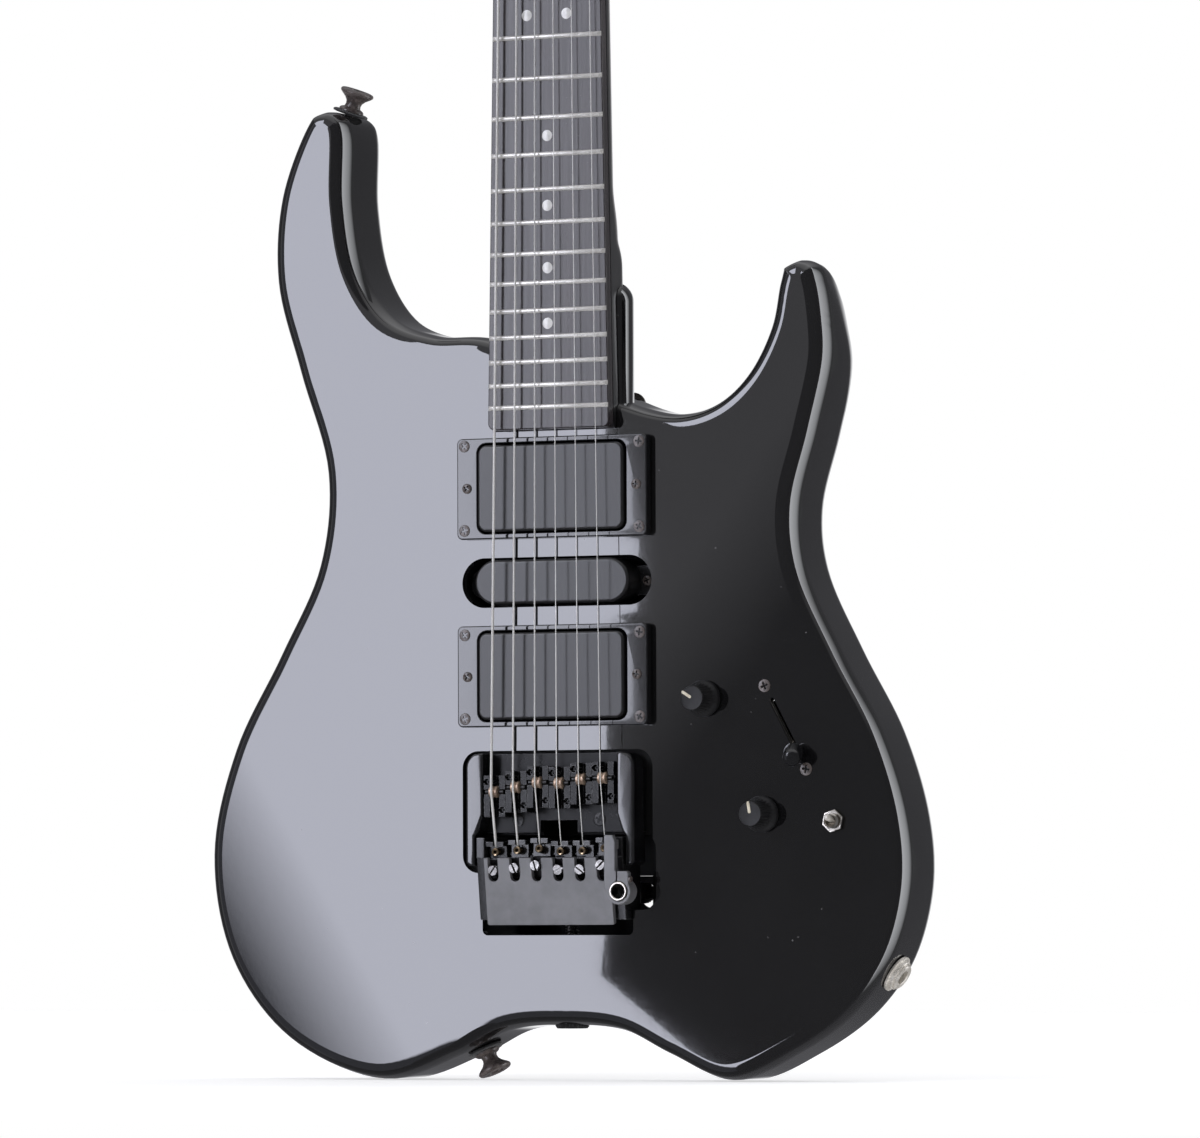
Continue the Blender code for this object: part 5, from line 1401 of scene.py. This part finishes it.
# a jaw's outline as (y, z) from the pivot, and how far each jaw's screw is turned
jawShape = {
    "loop": mm(-7.2, 6.2, -7.2, 4.2, -3.7, 4, -3.7, -1.2, -6.6, -1.4, -3.6, -10, -0.6, -11.5,
               -0.6, -21, 2.2, -21, 2.2, -10, 3.4, -2, 3.4, 3.4, -1, 6.2),
    "half": 0.00425, "screwZ": -0.0060, "spins": (0.9, 2.0, 1.9, 0.35, 2.5, 0.8),
}


def makeJaws():
    look = jawShape
    head = slotHead(0.0023, 0.0016)
    z = look["screwZ"]
    for index, spin in enumerate(look["spins"]):
        matrix, body = jawFrame(index), f"jaw_{index + 1}"
        mesh = boolean(sidePlate(look["loop"], -look["half"], look["half"], 0.00025), [
            block((-0.0009, -0.0090, 0.0030), (0.0009, -0.0030, 0.0080)),
            rod((0.0, -0.0040, -0.0170), (0.0, 0.0040, -0.0170), 0.0023, 20),
            rod((-0.006, 0.0, 0.0), (0.006, 0.0, 0.0), 0.0022, 24),
        ])
        mesh.transform(matrix)
        name = f"tuner_jaw_{index + 1}"
        weighted(place(f"jaw_block_{index + 1}", mesh, "bridge_black", body, name, 35.0))
        shank = rod((0.0, -0.0040, z), (0.0, -0.0091, z), 0.0017, 20)
        screw = joined([shank, aimed(head.copy(), (0.0, -0.0090, z), toFront, spin)])
        screw.transform(matrix)
        place(f"jaw_screw_{index + 1}", screw, "screw_steel", body, smooth=30.0)


tunerProfile = mm(
    0, 5, 1.2, 5, 1.5, 4.7, 1.5, -10.3, 2.7, -10.3, 2.7, -11.3, 1.5, -11.3, 1.5, -24, 4, -24,
    4.6, -24.5, 4.6, -34.5, 4, -35, 2.2, -35, 2, -34.7, 0, -34.7,
)


def makeTuners():
    for index in range(strings):
        mesh = lathe(tunerProfile, 96, flutes=(24, 0.00035, 9, 10))
        aimed(mesh, (stringX(index, saddleLine), front, tunerLine))
        number = index + 1
        place(f"tuner_thumb_{number}", mesh, "knob_plastic", f"tuner_{number}",
              f"tuner_knob_{number}", 28.0)
    # a thin dark plate that closes the rear window behind the tuners, with a hole over each tuner;
    # what closes this window on the real guitar is not known
    loops = [rounded(rectangle(-0.0361, 0.0361, -0.1484, -0.1306), 0.0044, 8)]
    for index in range(strings):
        loops.append(circle(stringX(index, saddleLine), tunerLine - 0.0015, 0.0050))
    mesh = plate(loops, alongY(-0.0013), 0.0010, 0.0001, 1)
    weighted(place("rear_window_plate", mesh, "felt_fibre", smooth=35.0, slot="pickup_satin"))


clampShape = {
    "x": 0.0367, "z": -0.1374, "height": 0.0155, "thickness": 0.0030, "top": -0.1130, "ear": 0.0048,
    "boss": mm(0, 0, 5.3, 0, 5.7, 0.4, 5.7, 6.9, 5.4, 7.2, 0, 7.2), "bore": 0.0045,
    "socket": mm(3.4, 0.7, 3.9, 0.7, 4.2, 0.4, 4.2, -7.3, 3.1, -7.3, 3.1, 0.4),
}


def makeArmClamp():
    look = clampShape
    x, z, top, height = look["x"], look["z"], look["top"], look["height"]
    face, inner = front - height, tailShape["cheekInner"]
    left, right, ear = inner - 0.0014, tailShape["cheekOuter"] - 0.0003, x + look["ear"]
    arm = [
        (left, top), (right - 0.0012, top), (right, top - 0.0030), (right, z + 0.0088),
        (ear - 0.0008, z + 0.0088), (ear, z + 0.0080), (ear, z + 0.0010), (x, z - 0.0010),
        (left, z + 0.0010),
    ]
    boss = aimed(lathe(look["boss"], 48), (x, face + 0.0073, z))
    foot = block(
        (inner, face + 0.0010, top - 0.0060), (right - 0.0013, front - 0.0088, top - 0.0020), 0.0002
    )
    mesh = frontPlate([arm], height, look["thickness"] - height, 0.0004)
    mesh = boolean(mesh, [boss, foot], "UNION")
    mesh = boolean(mesh, [
        rod((x, face - 0.002, z), (x, front, z), look["bore"], 40),
        block((x - 0.0012, face - 0.002, z + 0.0030), (x - 0.0004, front, z + 0.0120)),
    ])
    weighted(place("clamp_arm", mesh, "tail_plate_black", "tail", "arm_clamp", 35.0))
    mesh = aimed(lathe(look["socket"], 48, True), (x, face, z))
    place("socket_ring", mesh, "nickel_plate", "tail", "arm_socket", 28.0)
    head = socketHead(0.0014, 0.0010, 24)
    screw = aimed(head, (ear - 0.0002, face + 0.0015, z + 0.0052), (1.0, 0.0, 0.0))
    place("clamp_screw", screw, "screw_black", "tail", smooth=30.0)
    pinX, pinZ = left + 0.0005, top - 0.0030
    pin = rod((pinX, front - 0.0125, pinZ), (pinX, front - 0.0090, pinZ), 0.0009, 16)
    place("clamp_pin", pin, "screw_black", "tail")


springShape = {
    "start": -0.1308, "end": -0.1780, "wire": 0.00045, "radius": 0.0032, "turns": 34, "steps": 18,
    "moving": 0.0030, "still": 0.0240,
}


def makeSpring():
    look = springShape
    start, thick = look["start"], look["wire"]
    reach, count = look["radius"] - thick, look["turns"] * look["steps"]
    path = []
    for k in range(count + 1):
        angle = math.tau * k / look["steps"]
        z = start - thick + (look["end"] + 2 * thick - start) * k / count
        path.append((reach * math.cos(angle), springY + reach * math.sin(angle), z))
    item = finished("balance_coil", wire(path, thick), "screw_steel", 180.0)
    # where its upper end would follow the tail block and where the rest would stay in its bore;
    # these points are not used, and the coil is attached to no body
    moving, still = (0.0, springY, start - look["moving"]), (0.0, springY, start - look["still"])
    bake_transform(item)
    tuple(moving)
    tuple(still)
    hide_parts("tremolo_spring")


tensionProfile = mm(
    0, 0, 2.8, 0, 3.2, -0.4, 3.2, -8, 7, -8, 7.4, -8.4, 7.4, -17.7, 6.6, -18.7, 3, -18.7,
    2.7, -17.9, 0, -17.9,
)


def makeTensionKnob():
    mesh = lathe(tensionProfile, 120, flutes=(30, 0.0004, 5, 6))
    aimed(mesh, (0.0, springY, -0.1783), (0.0, 0.0, 1.0))
    place("tension_wheel", mesh, "knob_plastic", "tension_knob", "tension_knob", 28.0)


makeBridgeFrame()
makeSaddles()
makeTailBlock()
makeTailPlate()
makeJaws()
makeTuners()
makeArmClamp()
makeSpring()
makeTensionKnob()
print("bridge made")


knobShape = {
    "height": 0.0135, "headings": {"volume": (volumeSpot, 148.0), "tone": (toneSpot, 99.0)},
    "profile": mm(
        0, 13.4, 4.4, 13.4, 5, 13.5, 5.35, 13.1, 5.4, 12.4, 5.6, 10.5, 6, 6.2, 6.4, 4.6,
        6.9, 3.8, 7.6, 3.2, 7.9, 2.4, 7.9, 0.8, 7.7, 0.5, 3.3, 0.5, 3.3, 10.5, 0, 10.5,
    ),
}


def makeKnobs():
    look = knobShape
    for word, ((x, z), heading) in look["headings"].items():
        mesh = aimed(lathe(look["profile"], 144, flutes=(24, 0.00030, 4, 7)), (x, front, z))
        body = f"{word}_knob"
        place(f"{word}_grip", mesh, "knob_plastic", body, body)
        line = roundedBox(0.0028, 0.0, 0.0050, 0.0013, 0.0006, 5)
        line = plate([line], Matrix.Identity(4), 0.0004, 0.0001, 1)
        drop = block((0.00515, -0.00045, -0.0014), (0.00545, 0.00045, 0.0001), 0.0001)
        turn = Matrix.Rotation(math.pi / 2, 4, "X")
        turn = turn @ Matrix.Rotation(math.radians(heading), 4, "Z")
        pointer = joined([line, drop])
        pointer.transform(Matrix.Translation((x, front - look["height"], z)) @ turn)
        place(f"{word}_pointer", pointer, "pointer_ivory", body)
        repaint(f"{word}_pot", "nickel_plate")


switchShape = {
    "throw": math.radians(31.0), "reach": 0.0192, "pivot": front + 0.0160,
    "bladeThick": 0.0006, "bladeHalf": 0.0022, "railWide": 0.00105, "railHalf": 0.0138,
    "railTop": front + 0.0022, "railEnd": front + 0.0042, "gapWide": 0.0007, "gapHalf": 0.0132,
    "tip": mm(0, 0, 3.4, 0, 4.1, 0.6, 4.2, 1.6, 4.1, 6.4, 3.7, 7.9, 2.9, 8.7, 1.8, 9,
              1, 8.85, 0, 8.8),
    "screws": mm(99.5, -49.2, 118.9, -85.3),
}


def makeSwitch():
    look = switchShape
    start = look["reach"] / math.cos(look["throw"])
    matrix = switchTurn @ Matrix.Translation((0.0, look["pivot"], 0.0))
    matrix = matrix @ Matrix.Rotation(look["throw"], 4, "X")
    thick, half = look["bladeThick"], look["bladeHalf"]
    blade = block((-thick, -start - 0.002, -half), (thick, 0.0010, half), 0.0002)
    blade.transform(matrix)
    place("switch_blade", blade, "nickel_plate", "switch_lever", "switch_lever")
    tip = aimed(lathe(look["tip"], 48), (0.0, -start, 0.0))
    tip.transform(matrix)
    place("switch_cap", tip, "switch_tip_plastic", "switch_lever", smooth=60.0)
    wide, half = look["railWide"], look["railHalf"]
    rail = block((-wide, look["railTop"], -half), (wide, look["railEnd"], half), 0.0001)
    wide, half = look["gapWide"], look["gapHalf"]
    rail = boolean(rail, [block((-wide, front, -half), (wide, front + 0.0060, half))])
    rail.transform(switchTurn)
    place("switch_rail", rail, "nickel_plate", smooth=30.0)
    head = crossHead(0.0028, 0.0005)
    for number, (x, z) in enumerate(look["screws"]):
        setScrew(f"switch_screw_{number + 1}", head, (x, front, z), 0.4 + number)
    repaint("switch_unit", "screw_black")


toggleShape = {
    "turns": 7, "threadLow": 0.0022, "threadSpan": 0.0024, "lean": math.radians(12.0),
    "nutRadius": 0.0051, "nutTurn": math.radians(18.0),
    "top": mm(0, -1, 2.3, -1, 2.3, 4.3, 2.6, 4.6),
    "case": mm(3, 0.3, 3, -7.3, 4.2, -7.3, 4.2, -15.3, 0, -15.3),
    "bat": mm(0, 8.5, 0.9, 8.4, 1.4, 7.9, 1.6, 7, 1.4, 4.5, 1, 1, 1, -0.2, 0, -0.2),
}


def makeToggle():
    look = toggleShape
    x, z = toggleSpot
    threads = []
    for k in range(look["turns"]):
        low = look["threadLow"] + look["threadSpan"] * k / look["turns"]
        threads += [(0.00275, low), (0.0030, low + 0.00017)]
    case = aimed(lathe([*look["top"], *threads[::-1], *look["case"]]), (x, front, z))
    place("toggle_case", case, "nickel_plate", "guitar", "toggle_unit", 30.0)
    hexagon = arc(0.0, 0.0, look["nutRadius"], 6, 6, look["nutTurn"])
    nut = plate([hexagon, circle(0.0, 0.0, 0.0030)], Matrix.Identity(4), 0.0018, 0.0002)
    weighted(place("toggle_nut", aimed(nut, (x, front - 0.0013, z)), "nickel_plate"))
    lean = (0.0, -math.cos(look["lean"]), math.sin(look["lean"]))
    bat = aimed(lathe(look["bat"], 32), (x, front, z), lean)
    place("toggle_handle", bat, "bright_nickel", "toggle_bat", "toggle_bat", 50.0)


# jack, strap buttons and neck bolts: their profiles, radius and height outwards
jackProfile = mm(
    3.3, 4, 3.7, 4.2, 5.4, 4.2, 5.7, 3.9, 5.7, 3, 6.6, 3, 6.9, 2.7, 6.9, 1.8, 6.9, 1.4,
    8.4, 1.1, 8.4, 0.3, 5.7, 0.3, 5.7, -24, 3.3, -24,
)
buttonProfile = mm(
    0, 10.4, 3, 10.4, 3.6, 11.5, 6, 11.6, 7.1, 11.3, 7.6, 10.6, 7.5, 9.9, 6.6, 9, 4.8, 7.6,
    3.7, 6.2, 3.4, 4.8, 3.7, 3.6, 5, 3, 5.6, 2.4, 5.6, 1.8, 2, 1.8, 2, -19, 0, -19,
)
feltProfile = mm(2.3, 1.5, 7.4, 1.5, 8, 1.1, 7.9, 0.4, 7.4, 0.3, 2.3, 0.3)
cupProfile = mm(4, 0.3, 4.8, 1.2, 5.9, 1.4, 6.1, 1, 6.1, 0, 4, 0)
coverScrews = mm(65.5, -30, 110.5, -30, 148.5, -116.5, 110, -162.5, 57, -78)


def makeJackAndButtons():
    mesh = aimed(lathe(jackProfile, 96, True, (32, 0.00022, 5, 7)), jackSpot, jackOut)
    place("jack_barrel", mesh, "bright_nickel", "guitar", "output_jack", 30.0)
    head = crossHead(0.0029, 0.0010, False)
    for word, (spot, out) in buttons.items():
        mesh = aimed(lathe(buttonProfile, 56), spot, out)
        place(f"button_{word}", mesh, "screw_black", "guitar", f"strap_button_{word}")
        setScrew(f"button_screw_{word}", head, spot + out * buttonProfile[0][1], 0.5, direction=out)
        felt = aimed(lathe(feltProfile, 56, True), spot, out)
        place(f"felt_{word}", felt, "felt_fibre", "guitar", f"felt_washer_{word}", 50.0)


def makeBack():
    mesh = frontPlate([cavityLoop], -0.0400, 0.0420, offset=0.0047)
    holes = [rod((x, -0.0010, z), (x, 0.003, z), 0.0029, 28) for x, z in coverScrews]
    mesh = boolean(mesh, holes)
    weighted(place("rear_cover", mesh, "cover_plastic", "guitar", "control_cover", 35.0))
    head = crossHead(0.0027, 0.0007)
    for number, (x, z) in enumerate(coverScrews):
        name = f"cover_screw_{number + 1}"
        setScrew(name, head, (x, -0.0009, z), 0.7 * number, direction=toBack)
    head = crossHead(0.0040, 0.0014)
    for number, (x, z, back) in enumerate(neckBolts):
        spot = (x, back - 0.0034, z)
        cup = aimed(lathe(cupProfile, 40, True), spot, toBack)
        place(f"bolt_cup_{number + 1}", cup, "nickel_plate", smooth=30.0)
        setScrew(f"neck_bolt_{number + 1}", head, spot, 0.4 * number, direction=toBack)


makeKnobs()
makeSwitch()
makeToggle()
makeJackAndButtons()
makeBack()
print("controls made")


def stageFace(name, corners):
    # one flat face beside the object, with a plain material of its own
    shape = bmesh.new()
    shape.faces.new([shape.verts.new(corner) for corner in corners])
    item = newObject(name, meshOf(shape))
    finish = bpy.data.materials.new(name)
    finish.use_nodes = True
    item.data.materials.append(finish)
    return item, finish.node_tree


def makeFloor():
    low = cadBox[0].z - 0.0002
    corners = [(x, y, low) for x, y in rectangle(-3.0, 3.0, -0.70, 2.2)]
    item, tree = stageFace("floor", corners)
    item.visible_glossy = False
    look = {
        "Base Color": (0.9, 0.9, 0.9), "Roughness": 0.9, "Emission Color": (1.0, 1.0, 1.0),
        "Emission Strength": 0.55,
    }
    for label, value in look.items():
        feed(tree, value, tree.nodes["Principled BSDF"].inputs[label])


def makeGlow(name, outline, look):
    # a lit panel seen only in reflections; its light falls off along one direction
    item, tree = stageFace(name, outline)
    item.visible_camera = False
    tree.nodes.clear()
    start, end = look["fade"]
    where = newNode(tree, "TexCoord").outputs["Object"]
    fade = ramp(tree, dotProduct(tree, where, look["across"]), start, end, "LINEAR")
    dim = tuple(look["rest"] * part for part in look["tone"])
    tone = mixColor(tree, fade, look["tone"], dim)
    glow = newNode(tree, "Emission", {"Color": tone, "Strength": look["strength"]})
    newNode(tree, "OutputMaterial", {"Surface": glow.outputs[0]})


def makePanels():
    # the big soft panel on the left, mirrored by the pale half of the lacquer
    edge = [(-2.4, -2.6), (-0.69, -2.6), (-0.69, -0.370), (-0.831, -0.257), (-0.918, -0.190),
            (-0.914, -0.150), (-0.913, 0.0), (-0.913, 0.058), (-0.897, 0.060), (-0.905, 0.064),
            (-0.889, 0.067), (-0.887, 0.118), (-0.901, 0.121), (-0.893, 0.124), (-0.909, 0.127),
            (-0.899, 0.130), (-0.913, 0.134), (-0.913, 1.5), (-2.4, 1.5)]
    makeGlow("soft_panel", [(x, -2.0, z) for x, z in edge], {
        "tone": (0.85, 0.87, 1.0), "strength": 6.2, "rest": 0.05,
        "across": (-0.848, 0.0, -0.528), "fade": (1.036, 1.122),
    })
    # the dim room behind the camera, darker to the right and near the floor
    room = [(x, -2.04, z) for x, z in rectangle(-3.2, 3.2, -2.6, 2.6)]
    makeGlow("dim_room", room, {
        "tone": (1.0, 1.0, 1.06), "strength": 0.46, "rest": 0.30,
        "across": (-0.8, 0.0, 0.6), "fade": (0.755, 0.67),
    })
    # a tall strip to the right, behind the object, seen on the rounded edges
    strip = [(2.42, 1.13, -2.6), (1.20, 2.22, -2.6), (1.20, 2.22, 2.6), (2.42, 1.13, 2.6)]
    makeGlow("side_strip", strip, {
        "tone": (0.94, 0.96, 1.0), "strength": 4.2, "rest": 0.035,
        "across": (0.76, -0.65, 0.0), "fade": (1.05, -0.22),
    })


worldLook = {
    "dim": (0.125, 0.125, 0.134), "behind": (0.95, 0.95, 0.97), "above": (0.80, 0.80, 0.82),
    "toward": (-0.43, 0.90, 0.0), "near": (0.76, 0.90), "level": (0.24, 0.08), "high": (0.45, 0.95),
}


def makeWorld():
    # white to the camera; to the object a dim room, pale behind it and above
    look = worldLook
    world = bpy.data.worlds.new("studio")
    bpy.context.scene.world = world
    world.use_nodes = True
    tree = world.node_tree
    tree.nodes.clear()
    where = newNode(tree, "TexCoord").outputs["Generated"]
    height = newNode(tree, "SeparateXYZ", {0: where}).outputs["Z"]
    toward = ramp(tree, dotProduct(tree, where, look["toward"]), *look["near"])
    level = ramp(tree, mathNode(tree, "ABSOLUTE", height), *look["level"])
    behind = mathNode(tree, "MULTIPLY", toward, level)
    tone = mixColor(tree, behind, look["dim"], look["behind"])
    tone = mixColor(tree, ramp(tree, height, *look["high"]), tone, look["above"])
    light = newNode(tree, "Background", {"Color": tone})
    white = newNode(tree, "Background", {"Color": (1.0, 1.0, 1.0)})
    camera = newNode(tree, "LightPath").outputs["Is Camera Ray"]
    inputs = {0: camera, 1: light.outputs[0], 2: white.outputs[0]}
    newNode(tree, "OutputWorld", {"Surface": newNode(tree, "MixShader", inputs).outputs[0]})


cameraLook = {
    "azimuth": 25.62, "elevation": -2.5, "roll": -0.22, "distance": 3.438, "lens": 237.9,
    "target": (0.0266, -0.0534, 0.0023),
}


def makeCamera():
    look = cameraLook
    azimuth, elevation, roll = (math.radians(look[k]) for k in ("azimuth", "elevation", "roll"))
    level = math.cos(elevation)
    back = Vector((math.sin(azimuth) * level, -math.cos(azimuth) * level, math.sin(elevation)))
    data = bpy.data.cameras.new("camera")
    data.lens = look["lens"]
    data.sensor_width = 36
    item = newObject("camera", data)
    item.location = Vector(look["target"]) + back * look["distance"]
    item.rotation_mode = "QUATERNION"
    turn = (-back).to_track_quat("-Z", "Y")
    item.rotation_quaternion = turn @ Quaternion((0, 0, 1), roll)
    bpy.context.scene.camera = item


makeFloor()
makePanels()
makeWorld()
makeCamera()
bpy.context.scene.view_settings.view_transform = "Standard"
print("room, light and camera made")
